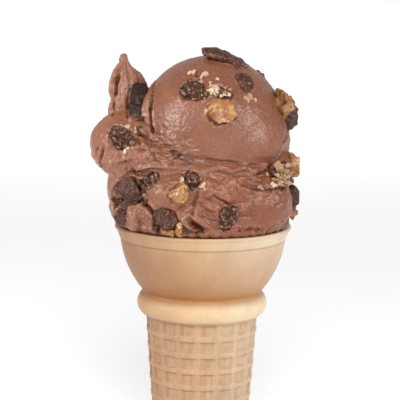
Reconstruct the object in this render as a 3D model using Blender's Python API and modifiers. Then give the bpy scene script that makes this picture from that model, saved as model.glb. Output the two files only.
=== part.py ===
"""Chocolate ice cream with nuts, toffee and chocolate, scooped into a flat-bottomed wafer cone.

Metres, +Z up. The origin is the centre of the cone's base, and -Y is the front.
The driving sizes below are in millimetres and are turned into metres where a shape is made.
"""

import math
import random

import bmesh
import bpy
from mathutils import Matrix, Vector
from mathutils.bvhtree import BVHTree

MM = 0.001
FIT_GAP = 0.35  # room between pieces that touch
FULL_TURN = 2 * math.pi

# The wafer cone
CONE_HEIGHT = 86.0
RIM_RADIUS = 31.0
WALL = 2.0
BAND_HEIGHT = 4.4  # flared band under the rim
BOWL_RADIUS = 29.0  # just under the band
NECK_RADIUS = 21.0
NECK_HEIGHT = 62.4
BOWL_BULGE = 1.45  # how far the bowl's side stands out of a straight line
COLLAR_RADIUS = 22.9
COLLAR_MIDDLE = 57.9
COLLAR_FOOT = 53.8
STEM_TOP_RADIUS = 19.9
FOOT_RADIUS = 16.0
FLOOR = 3.0
STEM_WALL = 1.6
RIB_COUNT = 17
RIB_TURN = -3.4  # degrees from the front to the nearest rib
RIB_HALF_TOP = 2.5  # degrees
RIB_HALF_FOOT = 4.4
RIB_DROP = 0.2  # the ribs lie this far under the rings
RING_PITCH = 5.85
FIRST_RING = 48.5  # middle of the highest ring
RING_HALF = 0.75
RING_SLOPE = 0.45
PANEL_DEPTH = 0.85

# The scoops
BALL_CENTRE = (2.4, 1.0, 120.0)
BALL_RADII = (25.5, 25.2, 25.0)
BASE_AIM = (0.0, 0.0, 96.0)
LOBE_AIM = (-25.0, -4.0, 111.0)
VOXEL = 0.8
SMOOTHING_ROUNDS = 5
UPPER_FACES = 980
LOWER_FACES = 2240
CAVITY_SIDES = 32

UPPER_LUMPS = [
    dict(centre=BALL_CENTRE, radii=BALL_RADII),
    dict(centre=(5.3, 0.0, 117.5), radii=(24.6, 22.8, 20.0)),
    dict(centre=(-2.5, -5.0, 113.0), radii=(21.0, 19.0, 17.0)),
]
UPPER_STRANDS = [
    # the raised lip down the ball's left side, and its torn foot
    [
        (-3.0, -2.0, 142.6, 1.8),
        (-9.5, -3.0, 140.9, 2.7),
        (-14.6, -4.6, 137.2, 2.7),
        (-19.0, -7.0, 129.6, 2.6),
        (-20.0, -9.0, 121.0, 2.9),
        (-17.0, -12.0, 113.5, 3.2),
    ],
    # a low fold round the ball's back
    [
        (20.0, 12.0, 110.0, 4.0),
        (10.0, 20.5, 109.0, 5.5),
        (-3.0, 22.5, 110.0, 6.0),
        (-14.0, 17.0, 113.0, 5.0),
    ],
]
LOWER_LUMPS = [
    dict(centre=(-0.3, -0.5, 92.5), radii=(30.5, 30.0, 14.0)),
    dict(centre=(-1.0, -1.5, 101.0), radii=(29.6, 28.0, 14.0)),
    dict(centre=(-25.3, -4.5, 114.2), radii=(14.3, 14.3, 12.4)),
    dict(centre=(-19.0, -3.0, 100.0), radii=(14.7, 17.0, 14.0)),
    dict(centre=(-22.5, -6.0, 92.5), radii=(9.8, 13.0, 7.4)),
    dict(centre=(17.0, -13.0, 96.0), radii=(13.2, 13.5, 12.0)),
    dict(centre=(-22.2, -17.6, 91.2), radii=(5.4, 5.4, 5.5)),
    dict(centre=(-9.0, -21.0, 100.0), radii=(11.0, 9.5, 9.0)),
    dict(centre=(12.0, 17.0, 101.0), radii=(16.0, 13.0, 12.0)),
    dict(centre=(-13.0, 16.0, 98.0), radii=(15.0, 13.5, 13.0)),
]
LOWER_STRANDS = [
    # the pulled peak on the left, a finger with a thicker back
    [
        (-28.0, -4.5, 118.5, 6.6),
        (-29.2, -4.4, 123.4, 4.2),
        (-28.8, -4.2, 127.2, 3.2),
        (-27.7, -4.0, 131.0, 3.0),
        (-27.5, -3.8, 134.6, 2.6),
        (-27.7, -3.5, 138.2, 2.0),
        (-28.0, -3.2, 141.4, 1.4),
        (-28.4, -3.0, 144.2, 1.15),
    ],
    [
        (-25.0, 1.0, 119.0, 6.5),
        (-26.4, 1.4, 126.0, 4.2),
        (-26.6, 0.8, 132.0, 2.8),
        (-27.0, -0.6, 137.4, 1.7),
    ],
    # its right edge, folded behind the chocolate
    [
        (-27.2, -1.6, 141.2, 1.1),
        (-23.8, -0.6, 138.4, 1.5),
        (-21.8, 0.4, 134.6, 1.7),
        (-21.4, 1.2, 129.0, 2.2),
    ],
    # the web between them
    [(-27.2, -3.0, 142.0, 1.3), (-25.6, -2.0, 138.0, 2.0), (-25.0, -1.6, 133.6, 2.4)],
    # thin slivers torn along its left edge
    [
        (-28.9, -4.2, 142.0, 1.0),
        (-31.0, -4.8, 138.8, 1.15),
        (-32.2, -5.2, 135.0, 1.25),
        (-31.9, -5.2, 131.6, 1.35),
        (-29.6, -4.8, 129.6, 1.6),
    ],
    [(-30.4, -5.0, 130.6, 1.2), (-32.1, -5.2, 127.4, 1.2), (-31.6, -4.8, 122.6, 1.8)],
    # the lip that sweeps from the lobe to the right, under the ball
    [
        (-25.0, -15.5, 114.0, 4.6),
        (-16.0, -20.5, 110.0, 4.8),
        (-5.0, -22.2, 107.0, 4.6),
        (6.0, -22.6, 105.6, 3.8),
        (16.0, -19.6, 105.0, 3.2),
    ],
    # the fold that holds the nuts on the right
    [(24.0, -13.0, 104.5, 3.4), (27.6, -5.0, 108.0, 3.4), (27.0, 5.0, 109.0, 3.6)],
    # the ragged skirt that rests inside the rim
    [
        (-27.0, -2.0, 88.6, 2.4),
        (-23.5, -13.5, 87.8, 2.4),
        (-15.0, -22.8, 87.7, 2.3),
        (-4.0, -27.0, 87.6, 2.3),
        (8.0, -26.2, 87.6, 2.3),
        (18.0, -20.8, 87.7, 2.3),
        (26.0, -9.5, 87.8, 2.3),
    ],
]
STRAND_BEADS = 16

# The pieces in the ice cream, in millimetres and degrees. Bearing runs from the front to the right and
# rise from the level, both seen from the aim point. Proud is how far the piece stands out of the surface.
# Turn spins it on the way out, tip lifts its left end, and facing is the way it looks if not its bearing.
PIECES = [
    dict(
        name="chocolate_slab", aim="base", bearing=-57, rise=5.8,
        facing=-46, turn=18, tip=-4, size=(16.4, 10.2, 4.6), proud=1.8,
    ),
    dict(
        name="cookie_edge", aim="base", bearing=-36, rise=15.6,
        turn=34, tip=0, size=(6.4, 5.0, 4.0), proud=1.5,
    ),
    dict(
        name="chocolate_shard", aim="base", bearing=-60, rise=-10.8,
        facing=-54, turn=66, tip=8, size=(7.2, 7.4, 4.6), proud=1.6,
    ),
    dict(
        name="chocolate_wedge", at=(-23.2, -8.0, 127.6), bearing=-8, rise=30,
        turn=84, tip=0, size=(20.0, 5.4, 5.2),
    ),
    dict(
        name="chocolate_flake", aim="ball", bearing=40, rise=76.5,
        turn=-38, tip=14, size=(17.2, 7.6, 3.6), proud=2.4,
    ),
    dict(
        name="chocolate_chip", aim="ball", bearing=37, rise=43,
        turn=66, tip=0, size=(7.6, 5.2, 3.4), proud=1.1,
    ),
    dict(
        name="cookie_upper", aim="ball", bearing=-19.5, rise=36,
        turn=-10, tip=0, size=(9.2, 8.0, 4.8), proud=1.8,
    ),
    dict(
        name="nut_upper", aim="ball", bearing=7.5, rise=34.5,
        turn=-12, tip=0, size=(9.4, 4.8, 3.6), proud=1.4,
    ),
    dict(
        name="toffee_upper", aim="ball", bearing=8, rise=18,
        turn=12, tip=0, size=(11.0, 8.2, 4.8), proud=2.3,
    ),
    dict(
        name="nut_upper_right", aim="ball", bearing=80, rise=15.5,
        turn=88, tip=6, size=(16.4, 9.0, 9.0), proud=5.8,
    ),
    dict(
        name="nut_middle_right", aim="base", bearing=58, rise=17,
        turn=40, tip=0, size=(12.4, 8.8, 6.8), proud=3.2,
    ),
    dict(
        name="toffee_right", aim="base", bearing=83, rise=21.5,
        turn=80, tip=0, size=(9.8, 6.6, 6.2), proud=2.1,
    ),
    dict(
        name="chocolate_right", aim="base", bearing=80, rise=1.4,
        turn=78, tip=0, size=(8.8, 6.0, 7.0), proud=4.9,
    ),
    dict(
        name="nut_lower_right", aim="base", bearing=87, rise=-10.2,
        turn=86, tip=0, size=(6.4, 5.4, 5.0), proud=3.2,
    ),
    dict(
        name="cookie_left", aim="lobe", bearing=-14, rise=28,
        turn=-58, tip=0, size=(10.4, 6.4, 4.6), proud=1.4,
    ),
    dict(
        name="toffee_lower", aim="base", bearing=-15.6, rise=9,
        turn=8, tip=0, size=(7.6, 6.4, 4.4), proud=1.9,
    ),
    dict(
        name="cookie_lower", aim="base", bearing=-8.6, rise=18.6,
        turn=-62, tip=0, size=(6.6, 5.0, 3.8), proud=1.4,
    ),
    dict(
        name="chocolate_front", aim="base", bearing=-24.6, rise=-6.8,
        turn=-40, tip=0, size=(8.4, 7.2, 4.8), proud=1.8,
    ),
    dict(
        name="cookie_front", aim="base", bearing=15.4, rise=-6,
        turn=82, tip=0, size=(8.4, 5.6, 4.2), proud=1.4,
    ),
    dict(
        name="toffee_back", aim="base", bearing=150, rise=8,
        turn=20, tip=0, size=(8.4, 6.6, 4.8), proud=2.0,
    ),
    dict(
        name="chocolate_back", aim="base", bearing=-146, rise=-2,
        turn=-30, tip=0, size=(10.6, 7.4, 4.6), proud=1.7,
    ),
    dict(
        name="nut_back", aim="ball", bearing=166, rise=16,
        turn=50, tip=0, size=(9.6, 6.8, 5.4), proud=2.4,
    ),
    dict(
        name="cookie_back", aim="ball", bearing=-138, rise=34,
        turn=-24, tip=0, size=(7.8, 6.2, 4.4), proud=1.4,
    ),
    dict(
        name="chip_back", aim="ball", bearing=112, rise=44,
        turn=36, tip=0, size=(6.4, 4.8, 3.2), proud=1.0,
    ),
    dict(
        name="cookie_side", aim="base", bearing=118, rise=2,
        turn=64, tip=0, size=(7.8, 6.0, 4.2), proud=1.4,
    ),
]
CORNER_COUNT = 15  # corners of one broken piece
BOXY = dict(chocolate=0.85, chip=0.7, toffee=0.7, cookie=0.5, nut=0.35)  # 0 is a ball, 1 is a brick
LOOK_DISTANCE = 90.0

COLOURS = {
    "wafer": ((0.78, 0.55, 0.33), 0.62),
    "ice_cream": ((0.36, 0.17, 0.115), 0.42),
    "chocolate": ((0.055, 0.028, 0.022), 0.38),
    "cookie": ((0.075, 0.04, 0.028), 0.75),
    "nut": ((0.62, 0.33, 0.11), 0.35),
    "toffee": ((0.66, 0.40, 0.15), 0.28),
}


def clear_scene():
    for item in list(bpy.data.objects):
        bpy.data.objects.remove(item, do_unlink=True)


def new_collection(name):
    collection = bpy.data.collections.new(name)
    bpy.context.scene.collection.children.link(collection)
    return collection


def new_material(name):
    colour, roughness = COLOURS[name]
    material = bpy.data.materials.new(name)
    material.use_nodes = True
    shader = material.node_tree.nodes["Principled BSDF"]
    shader.inputs["Base Color"].default_value = (*colour, 1.0)
    shader.inputs["Roughness"].default_value = roughness
    shader.inputs["Metallic"].default_value = 0.0
    return material


def add_object(name, shape, collection, material=None):
    """Turns a bmesh into a named object and frees it."""
    mesh = bpy.data.meshes.new(name)
    shape.to_mesh(mesh)
    shape.free()
    item = bpy.data.objects.new(name, mesh)
    collection.objects.link(item)
    if material:
        mesh.materials.append(material)
    return item


def as_cutter(item):
    item.hide_render = True
    item.display_type = "WIRE"
    return item


def apply_modifiers(item):
    """Replaces an object's mesh by what its modifiers make of it."""
    bpy.context.view_layer.update()
    graph = bpy.context.evaluated_depsgraph_get()
    made = bpy.data.meshes.new_from_object(item.evaluated_get(graph))
    item.modifiers.clear()
    item.data = made


def bulged_line(start, end, bulge, count):
    """Points on the arc from start to end that stands out of the straight line by bulge."""
    start, end = Vector(start), Vector(end)
    chord = end - start
    outward = Vector((-chord.y, chord.x)).normalized()
    if outward.x < 0:
        outward = -outward
    half = chord.length / 2
    radius = (half * half + bulge * bulge) / (2 * bulge)
    middle = (start + end) / 2 - outward * (radius - bulge)
    half_angle = math.asin(half / radius)
    along = chord.normalized()
    points = []
    for step in range(count + 1):
        angle = -half_angle + 2 * half_angle * step / count
        points.append(middle + along * radius * math.sin(angle) + outward * radius * math.cos(angle))
    return [(point.x, point.y) for point in points]


def stem_radius(height):
    """Radius over the ribs and rings."""
    return FOOT_RADIUS + (STEM_TOP_RADIUS - FOOT_RADIUS) * height / COLLAR_FOOT


def panel_rows():
    """Upper and lower edge of every recessed row between the rings, from the top down."""
    rows = []
    ring = FIRST_RING
    top = COLLAR_FOOT - RING_SLOPE
    while ring > RING_PITCH:
        rows.append((top, ring + RING_HALF))
        top = ring - RING_HALF
        ring -= RING_PITCH
    return rows


def cone_profile():
    """The wall's outline at +X: up the inside, over the rim and down the outside."""
    bowl_top = CONE_HEIGHT - BAND_HEIGHT
    neck_inside = NECK_RADIUS - WALL
    inside = [(0.0, FLOOR), (stem_radius(FLOOR) - PANEL_DEPTH - STEM_WALL, FLOOR)]
    inside.append((stem_radius(COLLAR_FOOT) - PANEL_DEPTH - STEM_WALL, COLLAR_FOOT))
    inside += bulged_line((neck_inside, NECK_HEIGHT), (BOWL_RADIUS - WALL, bowl_top), BOWL_BULGE, 3)
    inside.append((RIM_RADIUS - WALL, CONE_HEIGHT - 0.4))
    lip = [(RIM_RADIUS - WALL / 2, CONE_HEIGHT), (RIM_RADIUS, CONE_HEIGHT - 0.6)]
    band = [(BOWL_RADIUS + 0.35, bowl_top + 0.1)]
    bowl = bulged_line((BOWL_RADIUS, bowl_top - 0.3), (NECK_RADIUS, NECK_HEIGHT), BOWL_BULGE, 4)
    collar = bulged_line((NECK_RADIUS + 0.5, NECK_HEIGHT - 0.7), (COLLAR_RADIUS, COLLAR_MIDDLE), 0.35, 2)
    collar += bulged_line((COLLAR_RADIUS, COLLAR_MIDDLE), (STEM_TOP_RADIUS + 0.1, COLLAR_FOOT), 0.7, 2)[1:]
    stem = []
    for top, bottom in panel_rows():
        for height in (top, top - RING_SLOPE, bottom + RING_SLOPE, bottom):
            stem.append((stem_radius(height), height))
    foot = [(stem_radius(0.5), 0.5), (FOOT_RADIUS - 0.6, 0.0), (0.0, 0.0)]
    return inside + lip + band + bowl + collar + stem + foot


def press_waffle(mesh):
    """Gathers each rib's four rows of points and presses the panels between ribs and rings inwards."""
    pressed = set()
    for top, bottom in panel_rows():
        pressed.add(round(top - RING_SLOPE, 3))
        pressed.add(round(bottom + RING_SLOPE, 3))
    pitch = FULL_TURN / RIB_COUNT
    offsets = [math.radians(a) for a in (-RIB_HALF_FOOT, -RIB_HALF_TOP, RIB_HALF_TOP, RIB_HALF_FOOT)]
    front = math.radians(RIB_TURN) - math.pi / 2
    for vertex in mesh.vertices:
        x, y, height = vertex.co
        radius = math.hypot(x, y) / MM
        if radius < 0.01:
            continue
        step = round(math.atan2(y, x) / (pitch / 4)) % (4 * RIB_COUNT)
        rib, place = divmod(step, 4)
        angle = front + rib * pitch + offsets[place]
        on_panel = round(height / MM, 3) in pressed and radius > stem_radius(height / MM) - 0.2
        if on_panel:
            radius -= PANEL_DEPTH if place in (0, 3) else RIB_DROP
        vertex.co.x = radius * MM * math.cos(angle)
        vertex.co.y = radius * MM * math.sin(angle)


def turned(name, points, steps, collection):
    """A closed body turned about Z from an outline that starts and ends on the axis."""
    outline = bmesh.new()
    made = [outline.verts.new((r * MM, 0.0, z * MM)) for r, z in points]
    for first, second in zip(made, made[1:]):
        outline.edges.new((first, second))
    item = add_object(name, outline, collection)
    screw = item.modifiers.new("turn", "SCREW")
    screw.steps = screw.render_steps = steps
    screw.use_merge_vertices = True
    screw.merge_threshold = 0.00001
    apply_modifiers(item)
    return item


def make_cone(collection):
    cone = turned("wafer_cone", cone_profile(), 4 * RIB_COUNT, collection)
    press_waffle(cone.data)
    cone.data.materials.append(new_material("wafer"))
    cone.data.shade_smooth()
    cone.data.set_sharp_from_angle(angle=math.radians(28))
    return cone


def make_cavity(collection):
    """The space inside the cone's wall, less the fitting gap, with a wide top above the rim."""
    bowl_top = CONE_HEIGHT - BAND_HEIGHT
    gap = FIT_GAP
    stem = PANEL_DEPTH + STEM_WALL + gap
    points = [(0.0, CONE_HEIGHT + 80.0), (60.0, CONE_HEIGHT + 80.0), (60.0, CONE_HEIGHT + gap)]
    points += [(RIM_RADIUS - WALL - gap, CONE_HEIGHT + gap), (RIM_RADIUS - WALL - gap, CONE_HEIGHT - 0.4)]
    points += bulged_line(
        (BOWL_RADIUS - WALL - gap, bowl_top), (NECK_RADIUS - WALL - gap, NECK_HEIGHT), BOWL_BULGE, 3
    )
    points += [(stem_radius(COLLAR_FOOT) - stem, COLLAR_FOOT), (stem_radius(FLOOR) - stem, FLOOR + gap)]
    points.append((0.0, FLOOR + gap))
    return as_cutter(turned("cavity", points, CAVITY_SIDES, collection))


def add_ball(shape, centre, radii, fineness):
    place = Matrix.Translation(Vector(centre) * MM) @ Matrix.Diagonal((*(r * MM for r in radii), 1.0))
    bmesh.ops.create_icosphere(shape, subdivisions=fineness, radius=1.0, matrix=place)


def between(stops, share):
    """A place on the smooth run through the stops, share going from 0 to 1."""
    spot = share * (len(stops) - 1)
    index = min(int(spot), len(stops) - 2)
    t = spot - index
    before, start, end, after = (
        stops[max(index - 1, 0)],
        stops[index],
        stops[index + 1],
        stops[min(index + 2, len(stops) - 1)],
    )
    found = []
    for a, b, c, d in zip(before, start, end, after):
        square = a - 2.5 * b + 2 * c - d / 2
        cube = 1.5 * (b - c) + (d - a) / 2
        found.append(b + t * (c - a) / 2 + t * t * square + t**3 * cube)
    return found


def make_scoop(name, lumps, strands, faces, collection, plug=None):
    """Melts lumps and strands into one closed body, smooths it and thins out its faces."""
    shape = bmesh.new()
    for lump in lumps:
        add_ball(shape, lump["centre"], lump["radii"], 4)
    for strand in strands:
        for bead in range(STRAND_BEADS):
            *centre, radius = between(strand, bead / (STRAND_BEADS - 1))
            add_ball(shape, centre, (radius, radius, radius), 3)
    if plug:
        bottom, top, radius = plug
        tall = Matrix.Translation((0.0, 0.0, (bottom + top) / 2 * MM))
        bmesh.ops.create_cone(
            shape,
            cap_ends=True,
            segments=48,
            radius1=radius * MM,
            radius2=radius * MM,
            depth=(top - bottom) * MM,
            matrix=tall,
        )
    scoop = add_object(name, shape, collection)
    melt = scoop.modifiers.new("melt", "REMESH")
    melt.mode = "VOXEL"
    melt.voxel_size = VOXEL * MM
    soften = scoop.modifiers.new("soften", "SMOOTH")
    soften.factor = 0.5
    soften.iterations = SMOOTHING_ROUNDS
    apply_modifiers(scoop)
    thin = scoop.modifiers.new("thin", "DECIMATE")
    thin.ratio = faces / (2 * len(scoop.data.polygons))
    thin.use_collapse_triangulate = True
    apply_modifiers(scoop)
    return scoop


def cut(item, operation, other, solver="EXACT"):
    """Applies one Boolean. other is an object or a collection."""
    boolean = item.modifiers.new(operation.lower(), "BOOLEAN")
    boolean.operation = operation
    boolean.solver = solver
    if isinstance(other, bpy.types.Collection):
        boolean.operand_type = "COLLECTION"
        boolean.collection = other
    else:
        boolean.object = other
    apply_modifiers(item)


def keep_largest(item):
    """Drops loose scraps that a cut leaves behind."""
    shape = bmesh.new()
    shape.from_mesh(item.data)
    shape.verts.ensure_lookup_table()
    waiting = set(shape.verts)
    groups = []
    while waiting:
        front = [waiting.pop()]
        group = set(front)
        while front:
            vertex = front.pop()
            for edge in vertex.link_edges:
                other = edge.other_vert(vertex)
                if other in waiting:
                    waiting.remove(other)
                    group.add(other)
                    front.append(other)
        groups.append(group)
    groups.sort(key=len)
    for group in groups[:-1]:
        bmesh.ops.delete(shape, geom=list(group), context="VERTS")
    shape.to_mesh(item.data)
    shape.free()


def surface_of(items):
    """One tree for looking up the first surface met by a ray."""
    points, faces = [], []
    for item in items:
        start = len(points)
        points += [vertex.co.copy() for vertex in item.data.vertices]
        faces += [[start + i for i in polygon.vertices] for polygon in item.data.polygons]
    return BVHTree.FromPolygons(points, faces)


def direction(bearing, rise):
    bearing, rise = math.radians(bearing), math.radians(rise)
    return Vector((math.sin(bearing) * math.cos(rise), -math.cos(bearing) * math.cos(rise), math.sin(rise)))


def seat(piece, surface):
    """Where a piece sits on the ice cream: its middle and the way it faces."""
    aims = {"ball": BALL_CENTRE, "base": BASE_AIM, "lobe": LOBE_AIM}
    out = direction(piece["bearing"], piece["rise"])
    if "at" in piece:
        middle = Vector(piece["at"]) * MM
    else:
        aim = Vector(aims[piece["aim"]]) * MM
        met = surface.ray_cast(aim + out * LOOK_DISTANCE * MM, -out)[0]
        middle = met + out * (piece["proud"] - piece["size"][2] / 2) * MM
    out = direction(piece.get("facing", piece["bearing"]), piece["rise"])
    side = Vector((0, 0, 1)).cross(out).normalized()
    facing = Matrix((side, out.cross(side), out)).transposed().to_4x4()
    turn = Matrix.Rotation(math.radians(piece["turn"]), 4, "Z")
    tip = Matrix.Rotation(math.radians(piece["tip"]), 4, "Y")
    return Matrix.Translation(middle) @ facing @ turn @ tip


def broken_corners(size, boxy, seed):
    """Corners of a broken lump, between a ball and a brick in shape."""
    draw = random.Random(seed)
    corners = []
    for index in range(CORNER_COUNT):
        level = 1 - 2 * (index + 0.5) / CORNER_COUNT
        angle = index * math.pi * (3 - math.sqrt(5))
        flat = math.sqrt(1 - level * level)
        corner = Vector((flat * math.cos(angle), flat * math.sin(angle), level))
        reach = max(abs(c) for c in corner)
        corner = corner.lerp(corner / reach, boxy) * draw.uniform(0.88, 1.06)
        corners.append([c * s / 2 for c, s in zip(corner, size)])
    return corners


def add_hull(name, corners, place, collection, material=None):
    shape = bmesh.new()
    for corner in corners:
        shape.verts.new(place @ (Vector(corner) * MM))
    bmesh.ops.convex_hull(shape, input=shape.verts, use_existing_faces=False)
    loose = [vertex for vertex in shape.verts if not vertex.link_faces]
    bmesh.ops.delete(shape, geom=loose, context="VERTS")
    bmesh.ops.triangulate(shape, faces=shape.faces)
    bmesh.ops.recalc_face_normals(shape, faces=shape.faces)
    return add_object(name, shape, collection, material)


def make_pieces(scoops, parts, sockets):
    """Every nut, toffee, cookie and chocolate piece, and the wider shape that makes room for it."""
    surface = surface_of(scoops)
    materials = {name: new_material(name) for name in ("chocolate", "cookie", "nut", "toffee")}
    materials["chip"] = materials["chocolate"]
    for seed, piece in enumerate(PIECES):
        place = seat(piece, surface)
        size = piece["size"]
        kind = piece["name"].split("_")[0]
        corners = broken_corners(size, BOXY[kind], seed)
        add_hull(piece["name"], corners, place, parts, materials[kind])
        wider = [[c * (s + 2 * FIT_GAP + 0.1) / s for c, s in zip(corner, size)] for corner in corners]
        as_cutter(add_hull("socket_" + piece["name"], wider, place, sockets))


def main():
    clear_scene()
    parts = new_collection("ice_cream_cone")
    cutters = new_collection("cutters")
    sockets = new_collection("sockets")
    make_cone(parts)
    cavity = make_cavity(cutters)

    upper = make_scoop("upper_scoop", UPPER_LUMPS, UPPER_STRANDS, UPPER_FACES, parts)
    plug = (FLOOR - 5, CONE_HEIGHT, RIM_RADIUS)
    lower = make_scoop("lower_scoop", LOWER_LUMPS, LOWER_STRANDS, LOWER_FACES, parts, plug)
    room = as_cutter(bpy.data.objects.new("room_for_upper", upper.data.copy()))
    cutters.objects.link(room)
    room_middle = Vector(BALL_CENTRE) * MM
    widen = 1 + 1.6 * FIT_GAP / min(BALL_RADII)
    for vertex in room.data.vertices:
        vertex.co = room_middle + (vertex.co - room_middle) * widen
    make_pieces([upper, lower], parts, sockets)
    cut(lower, "INTERSECT", cavity)
    cut(lower, "DIFFERENCE", room)
    for scoop in (upper, lower):
        cut(scoop, "DIFFERENCE", sockets)
        keep_largest(scoop)
        scoop.data.materials.clear()
        scoop.data.shade_smooth()
    ice_cream = new_material("ice_cream")
    upper.data.materials.append(ice_cream)
    lower.data.materials.append(ice_cream)


main()
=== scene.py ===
# Chocolate ice cream in a flat-bottomed wafer cone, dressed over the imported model.
# All sizes in the dictionaries are millimetres unless a note says otherwise. Front is -Y.
import math
import random
from itertools import product

import bmesh
import bpy
import numpy as np
from mathutils import Matrix, Vector
from mathutils.bvhtree import BVHTree


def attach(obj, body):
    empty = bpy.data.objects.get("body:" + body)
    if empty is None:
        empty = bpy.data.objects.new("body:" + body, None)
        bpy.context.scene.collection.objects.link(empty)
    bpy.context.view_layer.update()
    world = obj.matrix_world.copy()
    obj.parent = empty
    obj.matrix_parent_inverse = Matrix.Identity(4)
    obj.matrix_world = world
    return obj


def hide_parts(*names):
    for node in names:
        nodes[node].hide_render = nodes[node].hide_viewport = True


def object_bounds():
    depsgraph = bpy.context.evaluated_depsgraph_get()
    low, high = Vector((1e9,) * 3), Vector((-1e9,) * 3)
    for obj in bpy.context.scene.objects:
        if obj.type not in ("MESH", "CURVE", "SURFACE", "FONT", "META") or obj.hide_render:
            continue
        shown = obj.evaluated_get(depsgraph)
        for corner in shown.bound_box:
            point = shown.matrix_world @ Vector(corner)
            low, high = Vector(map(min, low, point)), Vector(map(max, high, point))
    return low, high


mm = 0.001
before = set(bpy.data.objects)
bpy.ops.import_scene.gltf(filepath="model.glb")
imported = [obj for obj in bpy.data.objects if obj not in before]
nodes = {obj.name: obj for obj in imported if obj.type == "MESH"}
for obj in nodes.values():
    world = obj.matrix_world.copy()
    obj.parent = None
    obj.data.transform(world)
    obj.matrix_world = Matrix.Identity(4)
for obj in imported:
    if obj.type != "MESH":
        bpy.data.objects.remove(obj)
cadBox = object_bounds()
print("frame loaded,", len(nodes), "nodes")

bigNodes = ("wafer_cone", "upper_scoop", "lower_scoop")
rayStart = 80.0  # surfaces are looked for from this far outside


# small helpers


def addObject(name, mesh):
    item = bpy.data.objects.new(name, mesh)
    bpy.context.scene.collection.objects.link(item)
    return item


def meshFrom(name, shape):
    mesh = bpy.data.meshes.new(name)
    shape.to_mesh(mesh)
    shape.free()
    return mesh


def bake(item):
    # swaps an object's mesh for what its modifiers make of it
    bpy.context.view_layer.update()
    graph = bpy.context.evaluated_depsgraph_get()
    made = bpy.data.meshes.new_from_object(item.evaluated_get(graph))
    item.modifiers.clear()
    item.data = made


def remeshed(item, size):
    fine = item.modifiers.new("fine", "REMESH")
    fine.mode = "VOXEL"
    fine.voxel_size = size * mm
    bake(item)


def smoothed(item, rounds, factor=0.5):
    soft = item.modifiers.new("soft", "SMOOTH")
    soft.factor, soft.iterations = factor, rounds
    bake(item)


def coordinates(mesh):
    flat = np.empty(len(mesh.vertices) * 3)
    mesh.vertices.foreach_get("co", flat)
    return flat.reshape(-1, 3) / mm


def normals(mesh):
    flat = np.empty(len(mesh.vertices) * 3)
    mesh.vertex_normals.foreach_get("vector", flat)
    return flat.reshape(-1, 3)


def moveTo(mesh, points):
    mesh.vertices.foreach_set("co", (points * mm).ravel())
    mesh.update()


def storeValues(mesh, name, values):
    # one number for each corner, for a material or a node tree to read
    attribute = mesh.attributes.new(name, "FLOAT", "POINT")
    attribute.data.foreach_set("value", np.asarray(values, np.float32))


def smoothRun(stops, count):
    # evenly shared places on a smooth line through the stops, every column carried along
    stops = np.array(stops, float)
    padded = np.vstack([2 * stops[0] - stops[1], stops, 2 * stops[-1] - stops[-2]])
    found = []
    for share in np.linspace(0, len(stops) - 1, count):
        i = min(int(share), len(stops) - 2)
        t = share - i
        a, b, c, d = padded[i : i + 4]
        square = t * t * (a - 2.5 * b + 2 * c - d / 2)
        cube = t**3 * (1.5 * (b - c) + (d - a) / 2)
        found.append(b + t * (c - a) / 2 + square + cube)
    return np.array(found)


hashFactors = (73856093, 19349663, 83492791, 2654435761)


def latticeHash(cells, seed):
    # one whole number per lattice cell, the same on every run
    x, y, z = (cells[:, k] * hashFactors[k] for k in range(3))
    mixed = x ^ y ^ z ^ int(seed * 1013 + 7) * hashFactors[3]
    mixed = (mixed ^ (mixed >> 13)) * 1274126177
    return (mixed ^ (mixed >> 16)) & 0x7FFFFFFF


def hashTriple(mixed, shifts, mask, unit):
    # three numbers out of each hash, from its bits past each shift
    return np.stack([(mixed >> shift & mask) / unit for shift in shifts], 1)


def grain(points, scale, seed, octaves=2):
    # soft noise between about -1 and 1 at each point, scale in millimetres
    total = np.zeros(len(points))
    weight = 1.0
    for octave in range(octaves):
        place = points / scale * 2**octave + 37.7 * octave + 5.3
        cell = np.floor(place).astype(np.int64)
        part = place - cell
        ease = part**3 * (part * (part * 6 - 15) + 10)
        found = np.zeros(len(points))
        for corner in product((0, 1), repeat=3):
            slope = hashTriple(latticeHash(cell + corner, seed + octave), (0, 10, 20), 1023, 511.5) - 1
            value = ((part - corner) * slope).sum(axis=1)
            side = [ease[:, k] if step else 1 - ease[:, k] for k, step in enumerate(corner)]
            found += value * side[0] * side[1] * side[2]
        total += found * weight * 1.6
        weight *= 0.5
    return total


def cellField(points, scale, seed):
    # distance to the nearest and next nearest seed point, in cell widths, then a random number
    # for the nearest and how high a face that leans at random stands there
    place = points / scale + 11.3
    cell = np.floor(place).astype(np.int64)
    first, second = np.full(len(points), 9.0), np.full(len(points), 9.0)
    number, lean = np.zeros(len(points)), np.zeros(len(points))
    for step in product((-1, 0, 1), repeat=3):
        other = cell + step
        mixed = latticeHash(other, seed)
        centre = other + hashTriple(mixed, (0, 10, 20), 1023, 1023)
        distance = np.linalg.norm(place - centre, axis=1)
        closer = distance < first
        second = np.where(closer, first, np.minimum(second, distance))
        number = np.where(closer, (mixed >> 5 & 1023) / 1023, number)
        way = hashTriple(mixed, (3, 11, 19), 255, 127.5) - 1
        lean = np.where(closer, ((place - centre) * way).sum(axis=1), lean)
        first = np.where(closer, distance, first)
    return first, second, number, lean


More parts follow.
